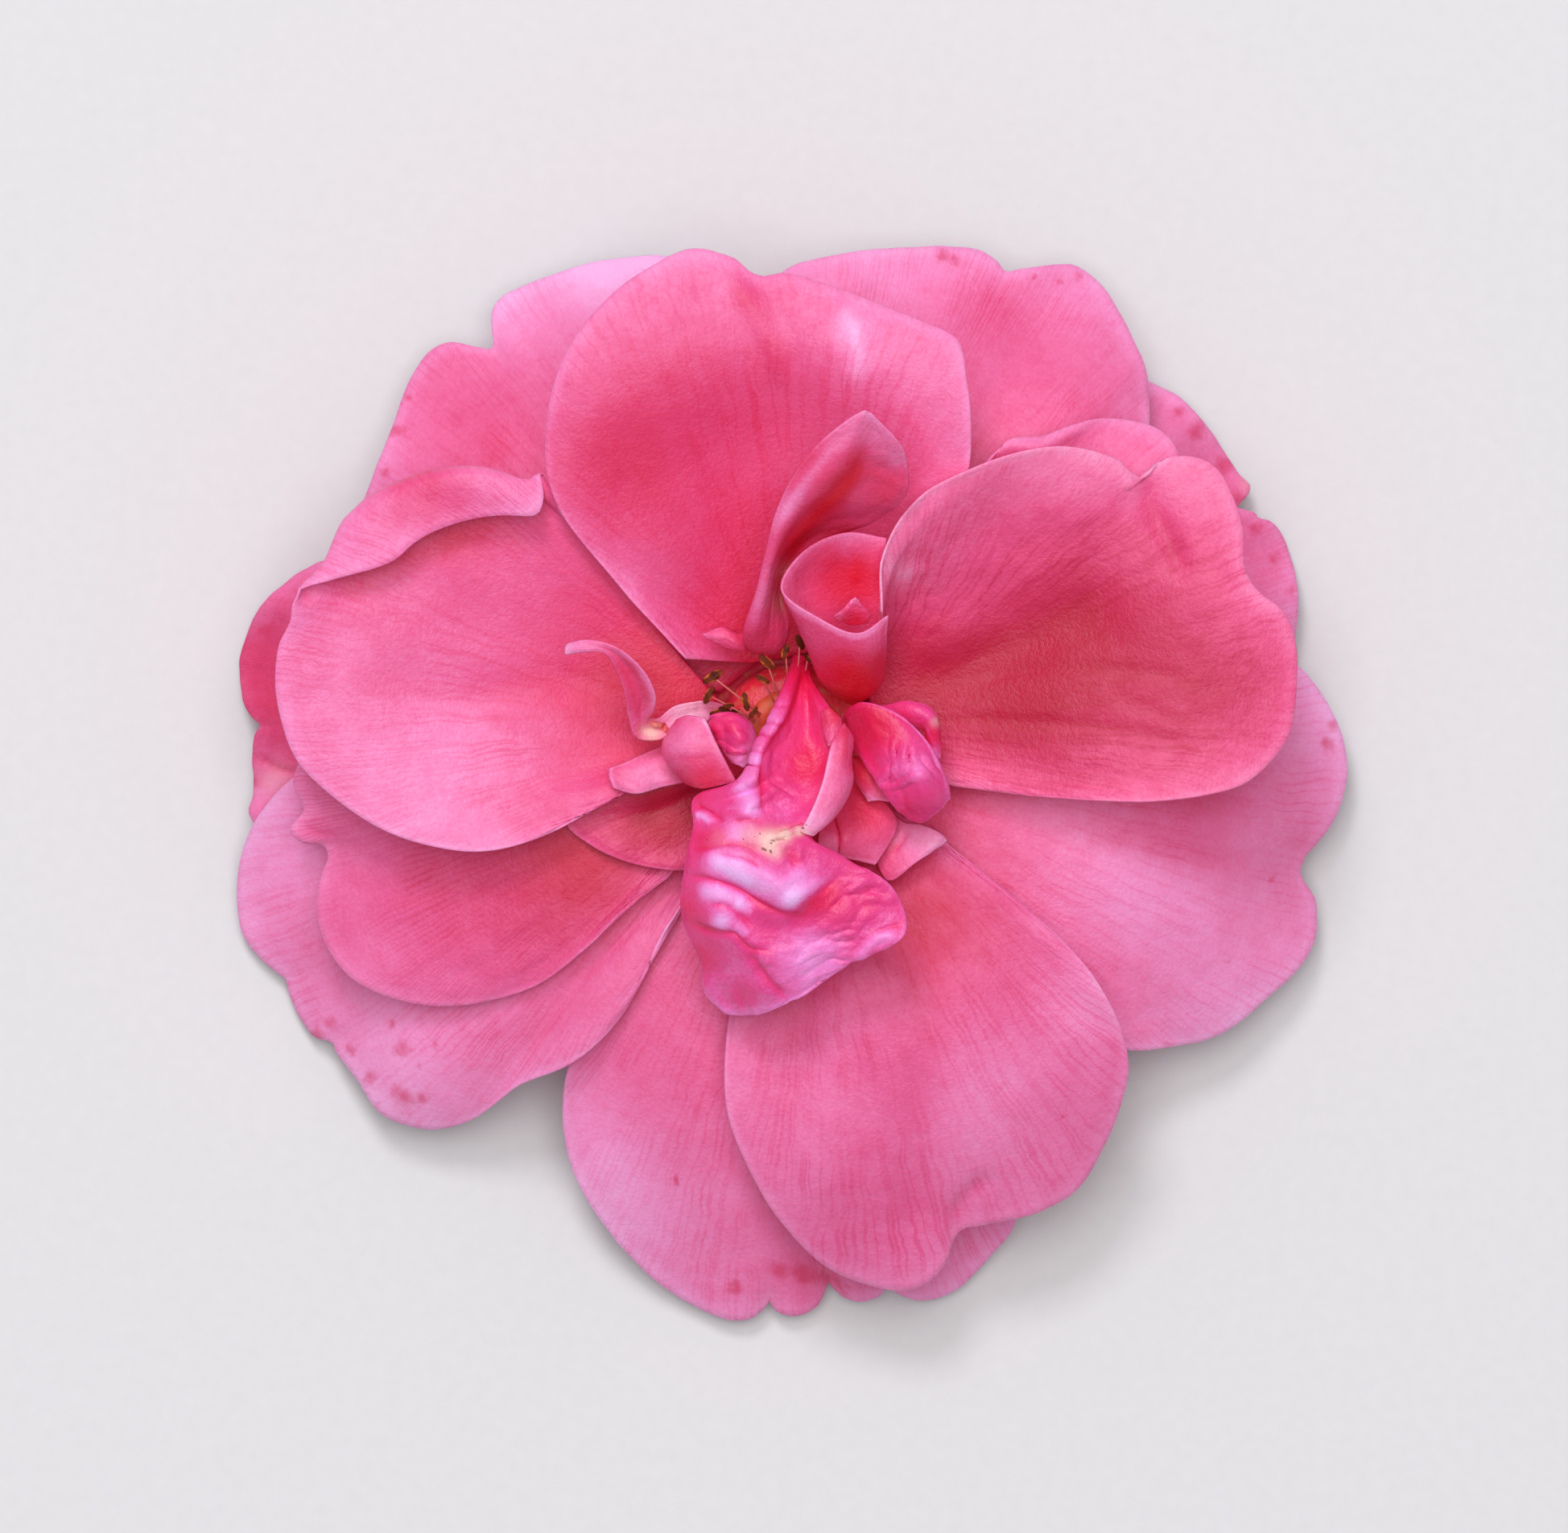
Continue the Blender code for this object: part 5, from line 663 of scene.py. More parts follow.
def smooth_curve(points, samples, even=2):
    """samples places along a smooth curve through the points, evenly spaced in their first few numbers."""
    points = np.array(points, float)
    steps = np.linalg.norm(np.diff(points[:, :even], axis=0), axis=1) ** 0.5
    knots = np.concatenate([[0], np.cumsum(steps)])
    dense = np.linspace(0, knots[-1], CURVE_STEPS * len(points))
    before = np.clip(np.searchsorted(knots, dense, side="right") - 1, 0, len(points) - 2)
    span = (knots[before + 1] - knots[before])[:, None]
    share = (dense - knots[before])[:, None] / span
    curve = between(points, np.gradient(points, knots, axis=0), before, share, span)
    lengths = np.linalg.norm(np.diff(curve[:, :even], axis=0), axis=1)
    along = np.concatenate([[0], np.cumsum(lengths)])
    places = np.linspace(0, along[-1], samples)
    return np.column_stack([np.interp(places, along, column) for column in curve.T])


def smooth_step(x):
    x = np.clip(x, 0, 1)
    return x * x * (3 - 2 * x)


def broad_surface(petal):
    """The middle surface of a broad petal: FINE_ROWS lines from its claw out to its rim."""
    across = np.linspace(-1, 1, FINE_COLUMNS)
    outward = np.linspace(0, 1, FINE_ROWS)[:, None]
    azimuth = math.radians(petal["azimuth"])
    out = np.array([math.cos(azimuth), math.sin(azimuth)])
    aside = np.array([-out[1], out[0]])
    claw = out * CLAW_RADIUS + aside * across[:, None] * CLAW_HALF_WIDTH
    spoke = smooth_curve(petal["rim"], FINE_COLUMNS) - claw
    reach = np.linalg.norm(spoke, axis=1)

    middle, half_span, extra, radius = petal.get("roll", (0, 1, 0, 1))
    rolled = smooth_step(1.6 * (1 - np.abs(across - middle) / half_span)) * (extra > 0)
    rolled *= smooth_step((1 + across) / ROLL_GROWTH)
    start = reach - radius * rolled
    flat = outward * (reach + extra * rolled)
    past = np.maximum(flat - start, 0)
    turn = np.minimum(past / radius, math.pi)
    distance = np.minimum(flat, start) + radius * np.sin(turn) - np.maximum(past - math.pi * radius, 0)
    lift = radius * (1 - np.cos(turn))

    share = distance / reach
    plan = claw + spoke * share[..., None]
    steps = np.linspace(0, reach.max(), len(petal["rise"]))
    profile = smooth_curve(np.column_stack([steps, petal["rise"]]), PROFILE_STEPS, even=1)
    height = petal["seat"] + np.interp(distance, profile[:, 0], profile[:, 1]) + lift
    height += share**1.5 * across**2 * np.where(across < 0, *petal["sides"])
    wave, waves, phase = petal["ruffle"]
    height += wave * share**4 * np.sin(waves * math.pi * across + phase)
    for x, y, spread, depth in petal["dents"]:
        away = np.hypot(plan[..., 0] - x, plan[..., 1] - y) / spread
        height += depth * np.exp(-away * away) * smooth_step(share * 3)
    return np.dstack([plan, np.maximum(height, LOWEST)])


def net_surface(rows, row_count, column_count):
    """The smooth surface through rows of places, as row_count lines of column_count places each."""
    across = np.array([smooth_curve(row, column_count, even=3) for row in rows])
    along = smooth_curve(across.reshape(len(rows), -1), row_count, even=3 * column_count)
    return along.reshape(row_count, column_count, 3)


def inner_surface(petal, trees):
    """The fine middle surface of an inner petal, laid over the broad ones where it lies on them."""
    rows, columns = petal["size"]
    surface = net_surface(petal["rows"], FINER * (rows - 1) + 1, FINER * (columns - 1) + 1)
    return lay_over(surface, trees) if petal.get("lies") else surface


def net_faces(rows, columns):
    """Triangles of a net, numbered row by row, that face up where the columns run anticlockwise."""
    faces = []
    for i in range(rows - 1):
        for j in range(columns - 1):
            a, b = i * columns + j, (i + 1) * columns + j
            faces += [(a, b, b + 1), (a, b + 1, a + 1)]
    return faces


def tree_of(surface):
    """A tree that finds where a line meets the surface."""
    points = [Vector(p) for p in surface.reshape(-1, 3)]
    return BVHTree.FromPolygons(points, net_faces(*surface.shape[:2]))


def spread_out(lift):
    """The lift carried to its neighbours and blurred, so that a petal bends instead of stepping."""
    for take in (np.max, np.max, np.max, np.mean, np.mean, np.mean):
        padded = np.pad(lift, 1, mode="edge")
        rows, columns = lift.shape
        around = [padded[i:i + rows, j:j + columns] for i in range(3) for j in range(3)]
        lift = take(around, axis=0)
    return lift


def lay_over(surface, trees):
    """The surface lifted wherever it comes too near one of the surfaces that it lies on."""
    rows, columns = surface.shape[:2]
    for _ in range(2):
        lift = np.zeros((rows, columns))
        for i in range(rows):
            for j in range(columns):
                x, y, z = surface[i, j]
                for tree in trees:
                    hit, normal, _, _ = tree.ray_cast(Vector((x, y, RAY_START)), Vector((0, 0, -1)))
                    if hit:
                        needed = (BLADE + AIR) / max(abs(normal.z), LEAST_SLOPE)
                        lift[i, j] = max(lift[i, j], hit.z + needed - z)
        surface = surface.copy()
        surface[..., 2] += spread_out(lift)
    return surface


def broad_surfaces():
    """Every broad petal's middle surface, each laid over those before it."""
    surfaces, trees = {}, []
    for name, petal in BROAD_PETALS.items():
        surfaces[name] = lay_over(broad_surface(petal), trees)
        trees.append(tree_of(surfaces[name]))
    return surfaces


def resampled(net, rows, columns):
    """The values of a net at rows by columns places, along smooth curves through the old ones."""
    for axis, count in enumerate((rows, columns)):
        net = np.moveaxis(net, axis, 0)
        place = np.linspace(0, len(net) - 1, count)
        before = np.minimum(place.astype(int), len(net) - 2)
        share = (place - before).reshape(-1, *[1] * (net.ndim - 1))
        net = np.moveaxis(between(net, np.gradient(net, axis=0), before, share), 0, axis)
    return net


def ripples(shape, hills, seed):
    """Smooth random heights between about -1 and 1 over a net, with so many hills each way."""
    draw = np.random.default_rng(seed)
    return resampled(draw.uniform(-1, 1, (hills[0] + 1, hills[1] + 1)), *shape)


def normals(net):
    """The direction square to the surface at each place of a net, upwards on a petal."""
    square = np.cross(np.gradient(net, axis=0), np.gradient(net, axis=1))
    return square / np.maximum(np.linalg.norm(square, axis=2, keepdims=True), 1e-9)


def raised(net, lift):
    """The net moved by so much at each place, square to its surface."""
    return net + normals(net) * lift[..., None]


def line_share(net, places, width):
    """1 on a smooth line through a few places, as seen from above, less beside it and towards its ends."""
    places = smooth_curve(places, 5 * len(places))
    nearest = np.full(net.shape[:2], np.inf)
    reached = np.zeros(net.shape[:2])
    for number, (start, end) in enumerate(zip(places, places[1:])):
        run = end - start
        along = ((net[..., :2] - start) @ run / (run @ run)).clip(0, 1)
        away = np.linalg.norm(net[..., :2] - start - along[..., None] * run, axis=2)
        reached = np.where(away < nearest, (number + along) / (len(places) - 1), reached)
        nearest = np.minimum(nearest, away)
    taper = smooth_step(LINE_TAPER * reached) * smooth_step(LINE_TAPER * (1 - reached))
    return taper * np.exp(-((nearest / width) ** 2))


def hills_at(net, marks):
    """The sum of smooth hills on a net, each given as (x, y, radius, amount)."""
    total = np.zeros(net.shape[:2])
    for x, y, radius, amount in marks:
        away = np.hypot(net[..., 0] - x, net[..., 1] - y) / radius
        total += amount * np.exp(-away * away)
    return total


def wrinkles(net, direction, spacing):
    """Random heights between about -1 and 1 in lines that run one way, with a spacing in millimetres."""
    draw = np.random.default_rng(round(100 * spacing) + round(direction) % 180)
    table = draw.uniform(-1, 1, (WRINKLE_TABLE, WRINKLE_TABLE))
    angle = math.radians(direction)
    along = (net[..., 0] * math.cos(angle) + net[..., 1] * math.sin(angle)) / (WRINKLE_LENGTH * spacing)
    aside = (net[..., 1] * math.cos(angle) - net[..., 0] * math.sin(angle)) / spacing
    aside = aside + 0.8 * np.sin(1.9 * along) + 0.5 * np.sin(0.7 * aside)
    i, j = np.floor(along).astype(int), np.floor(aside).astype(int)
    s, t = smooth_step(along - i), smooth_step(aside - j)
    near, far = (
        table[i % WRINKLE_TABLE, row] * (1 - s) + table[(i + 1) % WRINKLE_TABLE, row] * s
        for row in (j % WRINKLE_TABLE, (j + 1) % WRINKLE_TABLE)
    )
    return near * (1 - t) + far * t


def evened(net, passes):
    """The net blurred across the petal, with its rim's outline kept, so a notch there leaves no crease."""
    even = net.copy()
    for _ in range(passes):
        even[:, 1:-1] = (even[:, :-2] + 2 * even[:, 1:-1] + even[:, 2:]) / 4
    share = smooth_step(np.linspace(0, 1, len(net)) * RIM_PART - (RIM_PART - 1))[:, None, None]
    even[..., :2] += (net - even)[..., :2] * share
    return even


def nicked(net, nicks):
    """The net with notches drawn into its rim."""
    rim = net[-1]
    towards_claw = net[0] - rim
    towards_claw /= np.linalg.norm(towards_claw, axis=1, keepdims=True)
    share = np.linspace(0, 1, len(net))[:, None] ** NICK_SHARPNESS
    for x, y, depth, width in nicks:
        away = np.hypot(rim[:, 0] - x, rim[:, 1] - y) / width
        net = net + towards_claw * (share * depth * np.exp(-away * away))[..., None]
    return net


def placed(name, data):
    """A new object in the scene."""
    made = bpy.data.objects.new(name, data)
    bpy.context.scene.collection.objects.link(made)
    return made


def add_piece(name, mesh, finish, slot, *nodes):
    """A finished piece that rides on the bloom, in the place of the named nodes of the solid model.

    A mesh that has its finishes already is given with None.
    """
    mesh.shade_smooth()
    if finish:
        mesh.materials.append(finish)
    made = placed(name, mesh)
    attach(made, "root")
    if nodes:
        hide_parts(*nodes)


def new_mesh(name, places, edges, faces):
    """A mesh from places in millimetres round the flower's axis."""
    mesh = bpy.data.meshes.new(name)
    mesh.from_pydata(((np.array(places) + AXIS_PLACE) * MM).tolist(), edges, faces)
    return mesh


def keep_on_points(mesh, name, amounts, kind="FLOAT"):
    """Keeps an amount at each point of a mesh, under a name that a finish or a node tree reads."""
    data = mesh.attributes.new(name, kind, "POINT").data
    data.foreach_set("value" if kind == "FLOAT" else "vector", np.array(amounts, np.float32).ravel())


def shell(name, net, half, values):
    """The mesh of a thin closed blade round a middle surface, with a rounded edge.

    half is half its thickness at each place, and values are kept on its points for the finishes. Its UV
    map runs across the petal and out from its foot.
    """
    rows, columns = net.shape[:2]
    count = rows * columns
    number = np.arange(count).reshape(rows, columns)
    border = np.concatenate([number[:-1, 0], number[-1, :-1], number[:0:-1, -1], number[0, :0:-1]])
    inside = number[np.clip(np.arange(rows), 1, rows - 2)][:, np.clip(np.arange(columns), 1, columns - 2)]
    flat = net.reshape(-1, 3)
    outward = flat[border] - flat[inside.ravel()[border]]
    outward /= np.linalg.norm(outward, axis=1, keepdims=True)
    offset = normals(net) * half[..., None]
    points = np.concatenate([(net + offset).reshape(-1, 3), (net - offset).reshape(-1, 3),
                             flat[border] + outward * RIM_ROUND])
    a, b, c, d = number[:-1, :-1], number[1:, :-1], number[1:, 1:], number[:-1, 1:]
    edge = 2 * count + np.arange(len(border))
    ahead, edge_ahead = np.roll(border, -1), np.roll(edge, -1)
    faces = np.concatenate([
        np.stack([a, b, c, d], -1).reshape(-1, 4),
        np.stack([a, d, c, b], -1).reshape(-1, 4) + count,
        np.stack([ahead, border, edge, edge_ahead], -1),
        np.stack([edge_ahead, edge, border + count, ahead + count], -1),
    ])
    mesh = new_mesh(name, points, [], faces.tolist())
    across, out = np.meshgrid(np.linspace(0, 1, columns), np.linspace(0, 1, rows))
    place = np.stack([across.ravel(), out.ravel()], -1)
    place = np.concatenate([place, place, place[border]])
    mesh.uv_layers.new(name="petal").data.foreach_set("uv", place[faces.ravel()].astype(np.float32).ravel())
    under = np.concatenate([np.zeros(count), np.ones(count), np.full(len(border), 0.5)])
    for kept, amount in (("under", under), *values.items()):
        if amount.shape == (rows, columns):
            amount = np.concatenate([amount.ravel(), amount.ravel(), amount.ravel()[border]])
        keep_on_points(mesh, kept, amount)
    return mesh


def blade_half(rows, columns, middle, rim):
    """Half a blade's thickness over its net, thinner towards its edges."""
    i, j = np.meshgrid(np.arange(rows), np.arange(columns), indexing="ij")
    steps = np.minimum(rows - 1 - i, np.minimum(j, columns - 1 - j))
    return (rim + (middle - rim) * smooth_step(steps / EDGE_STEPS)) / 2


def petal_mesh(name, net, number):
    """The blade of one petal, with its lines, crinkles, nicks, tones, spots, specks and cream.

    Some tones, line tones and cream marks are painted shade, painted highlights and painted light.
    """
    marks = PETAL_MARKS.get(name, {})
    lift = np.zeros(net.shape[:2])
    tone_and_painted_light = hills_at(net, marks.get("tones_and_painted_light", []))
    # The last number of a line tones the blade along it. In some creases this is painted shade, and on some
    # crests it is a painted highlight.
    for *places, depth, width, deeper in marks.get("lines", []):
        share = line_share(net, places, width)
        lift -= depth * share
        tone_and_painted_light += deeper * share
    for x, y, radius, direction, height, spacing in marks.get("crinkles", []):
        lift += height * hills_at(net, [(x, y, radius, 1)]) * wrinkles(net, direction, spacing)
    net = nicked(raised(net, lift), marks.get("nicks", []))
    values = {"tone_and_painted_light": tone_and_painted_light, "cream": hills_at(net, marks.get("cream", []))}
    for kind in ("spot", "speck"):
        values[kind] = hills_at(net, [(*mark, 1) for mark in marks.get(kind + "s", [])])
    values["number"] = np.full(net.shape[:2], number)
    return shell(name, net, blade_half(*net.shape[:2], PETAL_THICKNESS, RIM_THICKNESS), values)


def broad_petals(finishes):
    """Every broad petal as a fine blade, and the trees of their surfaces."""
    surfaces = broad_surfaces()
    rows, columns = REFINED * (FINE_ROWS - 1) + 1, REFINED * (FINE_COLUMNS - 1) + 1
    for number, (name, surface) in enumerate(surfaces.items()):
        net = evened(resampled(surface, rows, columns), EVENING)
        share = np.linspace(0, 1, rows)[:, None] * min(1, np.ptp(net[-1, :, :2]) / RIPPLED_WIDTH)
        lift = sum(height * share**power * ripples((rows, columns), hills, number + seed)
                   for height, power, hills, seed in RIPPLES)
        net = raised(net, lift)
        # Petals that lie in shade take the darker shaded look, which is painted shade.
        kind = "shaded" if name in IN_PAINTED_SHADE else name.split("_")[0]
        add_piece(name + "_blade", petal_mesh(name, net, number), finishes[kind + "_petal_pink"],
                  "broad_petal", name)
    return [tree_of(surface) for surface in surfaces.values()]


def inner_petals(finishes, trees):
    """Every inner petal as a fine crumpled blade."""
    for number, (name, petal) in enumerate({**INNER_PETALS, **CURLED_MARGIN}.items()):
        surface = inner_surface(petal, trees)
        refined = INNER_REFINED + (name in FINEST)
        rows, columns = (refined * (count - 1) + 1 for count in surface.shape[:2])
        net = resampled(surface, rows, columns)
        height, (along, across) = CRUMPLES.get(name, LEAST_CRUMPLE)
        share = smooth_step(np.linspace(0, 1, rows)[:, None] * 4)
        folds = 1 - 2 * np.abs(ripples((rows, columns), (along, across), number + FOLD_SEED))
        fine = ripples((rows, columns), (2 * along + 3, 2 * across + 3), number + FINE_SEED)
        lift = height * share * (FOLD_SHARE * folds + FINE_SHARE * fine)
        net = raised(net, lift)
        finish = finishes["crumpled_petal_gloss" if name in GLOSSY else "curled_petal_satin"]
        replaced = [name] if name in INNER_PETALS else []
        add_piece(name + "_blade", petal_mesh(name, net, number + len(BROAD_PETALS)), finish,
                  "inner_petal", *replaced)


class Wire:
    """An output of a node tree. Arithmetic on it adds Math nodes to that tree."""

    def __init__(self, socket):
        self.socket = socket

    def math(self, operation, *terms):
        node = self.socket.id_data.nodes.new("ShaderNodeMath")
        node.operation = operation
        for socket, term in zip(node.inputs, terms):
            plug(socket, term)
        return Wire(node.outputs[0])

    def __abs__(self):
        return self.math("ABSOLUTE", self)

    def above(self, other):
        return self.math("GREATER_THAN", self, other)

    def at_least(self, other):
        return self.math("MAXIMUM", self, other)

    def kept_in(self, low, high):
        return self.math("MINIMUM", self.at_least(low), high)

    def eased(self, low, high):
        """0 below low and 1 above high, with a smooth passage between them."""
        share = ((self - low) / (high - low)).kept_in(0, 1)
        return share * share * (3 - 2 * share)


for sign, operation in (("add", "ADD"), ("sub", "SUBTRACT"), ("mul", "MULTIPLY"), ("truediv", "DIVIDE")):
    setattr(Wire, f"__{sign}__", lambda self, other, kind=operation: self.math(kind, self, other))
    setattr(Wire, f"__r{sign}__", lambda self, other, kind=operation: self.math(kind, other, self))


def plug(socket, value):
    if isinstance(value, Wire):
        socket.id_data.links.new(value.socket, socket)
    else:
        socket.default_value = value


class Bench:
    """A node tree that is being built."""

    def __init__(self, tree):
        self.tree = tree

    def add(self, kind, inputs=None, output=0, **settings):
        node = self.tree.nodes.new(kind)
        for name, value in settings.items():
            setattr(node, name, value)
        for name, value in (inputs or {}).items():
            plug(node.inputs[name], value)
        return Wire(node.outputs[output])

    def parts(self, vector):
        """The three numbers of a vector."""
        node = self.tree.nodes.new("ShaderNodeSeparateXYZ")
        plug(node.inputs[0], vector)
        return [Wire(output) for output in node.outputs]

    def vector(self, *numbers):
        return self.add("ShaderNodeCombineXYZ", dict(enumerate(numbers)))

    def attribute(self, name):
        """What keep_on_points has kept under a name."""
        return self.add("ShaderNodeAttribute", attribute_name=name, output=2)

    def petal_place(self):
        """The place on a petal: across it and out from its foot, each from 0 to 1."""
        return self.parts(self.add("ShaderNodeUVMap", uv_map="petal"))[:2]

    def noise(self, vector, scale, detail=2, roughness=0.5):
        """Smooth noise about 0, mostly between -0.5 and 0.5."""
        inputs = {"Vector": vector, "Scale": scale, "Detail": detail, "Roughness": roughness}
        return self.add("ShaderNodeTexNoise", inputs) - 0.5

    def mix(self, share, first, second):
        """Two colours mixed, each of them an output or a colour on a screen."""
        first, second = (one if isinstance(one, Wire) else srgb(*one) for one in (first, second))
        return self.add("ShaderNodeMix", {0: share, 6: first, 7: second}, 2, data_type="RGBA")

    def steps(self, value, places, colours):
        """A colour read from those that a shader has at some places from 0 to 1."""
        node = self.tree.nodes.new("ShaderNodeValToRGB")
        elements = node.color_ramp.elements
        elements[0].position, elements[1].position = places[0], places[-1]
        for place in places[1:-1]:
            elements.new(place)
        for element, colour in zip(elements, colours):
            element.color = colour
        plug(node.inputs[0], value)
        return Wire(node.outputs[0])

    def ramp(self, value, stops):
        """A colour read from stops of (place, colour on a screen)."""
        places, colours = zip(*stops)
        return self.steps(value, places, [srgb(*colour) for colour in colours])

    def bump(self, height_in_mm):
        return self.add("ShaderNodeBump", {"Height": height_in_mm, "Strength": 1, "Distance": MM})


def srgb(red, green, blue):
    """A colour given from 0 to 255 as on a screen, as a shader reads it."""
    parts = [part / 255 for part in (red, green, blue)]
    return (*[part / 12.92 if part < 0.04 else ((part + 0.055) / 1.055) ** 2.4 for part in parts], 1)


def new_finish(name):
    """A new finish, the bench for its node tree and the place on the skin, for its textures."""
    made = bpy.data.materials.new(name)
    made.use_nodes = True
    bench = Bench(made.node_tree)
    return made, bench, bench.add("ShaderNodeTexCoord", output=3)


def dressed(finish, inputs):
    """The finish with the inputs of its shader set."""
    shader = finish.node_tree.nodes["Principled BSDF"]
    for name, value in inputs.items():
        plug(shader.inputs[name], value)
    return finish


def vein_lines(bench, across, out, skin, number):
    """Veins that fan out from a petal's foot and fork towards its rim: 1 on a vein and 0 off it."""
    width = 5 + 60 * out
    wobble = (bench.noise(skin, 90) * 1.4 + bench.noise(skin, 330) * 1.1
              + bench.noise(skin, 1100) * 0.3)
    place = across + wobble / width
    lines = 0
    for columns, start, thickness in VEIN_FORKS:
        column = place * columns + 0.37 * number
        cell = column.math("FLOOR", column)
        chance = bench.add("ShaderNodeTexWhiteNoise", {"W": cell + 17.3 * columns + number},
                           noise_dimensions="1D")
        share = column - cell
        forked = ((out - start - 0.16 * chance) / 0.26).kept_in(0, 1)
        lean = chance.above(0.5)
        target = lean + (1 - 2 * lean) * 0.5 * forked
        away = abs(share - target) * width / columns
        lines = ((1 - away.eased(0.25 * thickness, thickness)) * forked.eased(0, 0.15)).at_least(lines)
    return lines


def petal_finish(name, colours, throat, vein_strength, streaks, gloss, coat, crinkle):
    """A velvety petal: deep at the throat and pale at the rim, veined, mottled and finely grained.

    The painted shade, highlights and light kept in its tone and cream attributes deepen and pale its
    colour.
    """
    made, bench, skin = new_finish(name)
    across, out = bench.petal_place()
    tone_and_painted_light, spot, speck, cream, under, number = map(
        bench.attribute, ("tone_and_painted_light", "spot", "speck", "cream", "under", "number"))
    veins = vein_lines(bench, across, out, skin, number)
    side = abs(across * 2 - 1)
    clouds, mottle, grain, patches = (
        bench.noise(skin, *kind) for kind in ((110, 3), (600, 3, 0.6), (3200, 2, 0.7), (160, 2)))
    fibres = bench.noise(bench.vector(across * 60 + 7 * number, out * 9, number), 1, 3)

    steps, depths = zip(*throat)
    depth = bench.steps(out, steps, [(deep, deep, deep, 1) for deep in depths]) - 0.5
    paler_edge = (out.eased(0.95, 1) * 0.1 + side.eased(0.96, 1) * 0.06) * out.eased(0.3, 0.7)
    # tone brings the petal's own deep and pale places, painted shade and painted highlights into the
    # colour.
    depth = depth + 0.5 * tone_and_painted_light + 0.3 * clouds + 0.2 * mottle + streaks * fibres * out - paler_edge
    depth = depth + veins * (vein_strength * (0.5 + 3 * patches + 0.8 * mottle)).kept_in(0, 1)
    depth = depth - 0.1 * under + 0.2 * grain
    colour = bench.ramp((depth + 0.5).kept_in(0, 1), zip(COLOUR_STEPS, colours))
    blotch = (spot + (1.2 * mottle + 0.8 * clouds) * spot.eased(0.02, 0.3)).eased(0.1, 1)
    colour = bench.mix(blotch * 0.62, colour, RASPBERRY)
    colour = bench.mix((cream * (1 + 1.4 * mottle)).kept_in(0, 0.9), colour, CREAM)
    colour = bench.mix((speck + mottle * speck).eased(0.3, 0.6) * 0.8, colour, SPECK_BROWN)
    dots = bench.add("ShaderNodeTexVoronoi", {"Vector": skin, "Scale": 70})
    colour = bench.mix((1 - dots.eased(0.005, 0.011)) * 0.8, colour, DOT_PURPLE)
    return dressed(made, {
        "Base Color": colour, "Roughness": gloss + 0.25 * mottle + 0.1 * grain,
        "Normal": bench.bump(0.07 * grain + crinkle * mottle), "Specular IOR Level": 0.4,
        "Coat Weight": coat, "Coat Roughness": 0.3,
    })


def hip_finish():
    """The waxy hip: green below and rose red on top, where the petals were seated."""
    made, bench, skin = new_finish("hip_skin")
    height = bench.parts(skin)[2] * (1 / MM)
    clouds, mottle = bench.noise(skin, 240, 3), bench.noise(skin, 1500, 3, 0.6)
    level = ((height + 0.6 * clouds) / HIP_TOP).kept_in(0, 1)
    colour = bench.ramp(level, [
        (0, (150, 158, 92)), (0.16, (104, 134, 58)), (0.5, (88, 122, 52)), (0.64, (122, 122, 62)),
        (0.67, (216, 90, 88)), (0.7, (228, 40, 74)), (0.94, (232, 36, 62)),
    ])
    colour = bench.mix((0.5 + mottle).eased(0.5, 0.72) * 0.3, colour, (160, 168, 110))
    return dressed(made, {"Base Color": colour, "Roughness": 0.42 + 0.3 * mottle,
                          "Normal": bench.bump(0.1 * mottle + 0.06 * clouds)})


def sepal_finish():
    """A leafy sepal: a paler midrib and side veins, a reddish edge and a downy bloom."""
    made, bench, skin = new_finish("sepal_leaf")
    across, out = bench.petal_place()
    side = abs(across * 2 - 1)
    clouds, mottle = bench.noise(skin, 300, 3), bench.noise(skin, 2200, 3, 0.6)
    midrib = 1 - side.eased(0.04, 0.12)
    rib = out * 26 - side * 5 + clouds
    ribs = rib.math("PINGPONG", rib, 1)
    side_veins = (1 - ribs.eased(0.05, 0.2)) * (1 - side.eased(0.7, 1))
    colour = bench.ramp((0.5 + clouds + 0.5 * mottle).kept_in(0, 1), [
        (0, (62, 96, 38)), (0.5, (88, 124, 52)), (1, (128, 152, 80)),
    ])
    colour = bench.mix(side.eased(0.78, 1) * 0.6, colour, (150, 84, 70))
    colour = bench.mix(midrib * 0.6 + side_veins * 0.3, colour, (168, 184, 118))
    colour = bench.mix(0.35 * bench.attribute("under"), colour, (176, 190, 150))
    relief = bench.bump(0.12 * midrib - 0.08 * side_veins + 0.06 * mottle)
    return dressed(made, {"Base Color": colour, "Roughness": 0.55 + 0.3 * mottle, "Normal": relief,
                          "Sheen Weight": 0.3})


def thread_finish(name, low, high, scale):
    """A soft finish for filaments, styles and hairs: two colours, mixed in fine streaks."""
    made, bench, skin = new_finish(name)
    streaks, grain = bench.noise(skin, scale, 3), bench.noise(skin, 4 * scale)
    return dressed(made, {
        "Base Color": bench.mix((0.5 + 1.4 * streaks).kept_in(0, 1), low, high),
        "Roughness": 0.5 + 0.3 * grain, "Normal": bench.bump(0.04 * grain),
        "Subsurface Weight": 0.15, "Subsurface Scale": 0.4 * MM,
    })


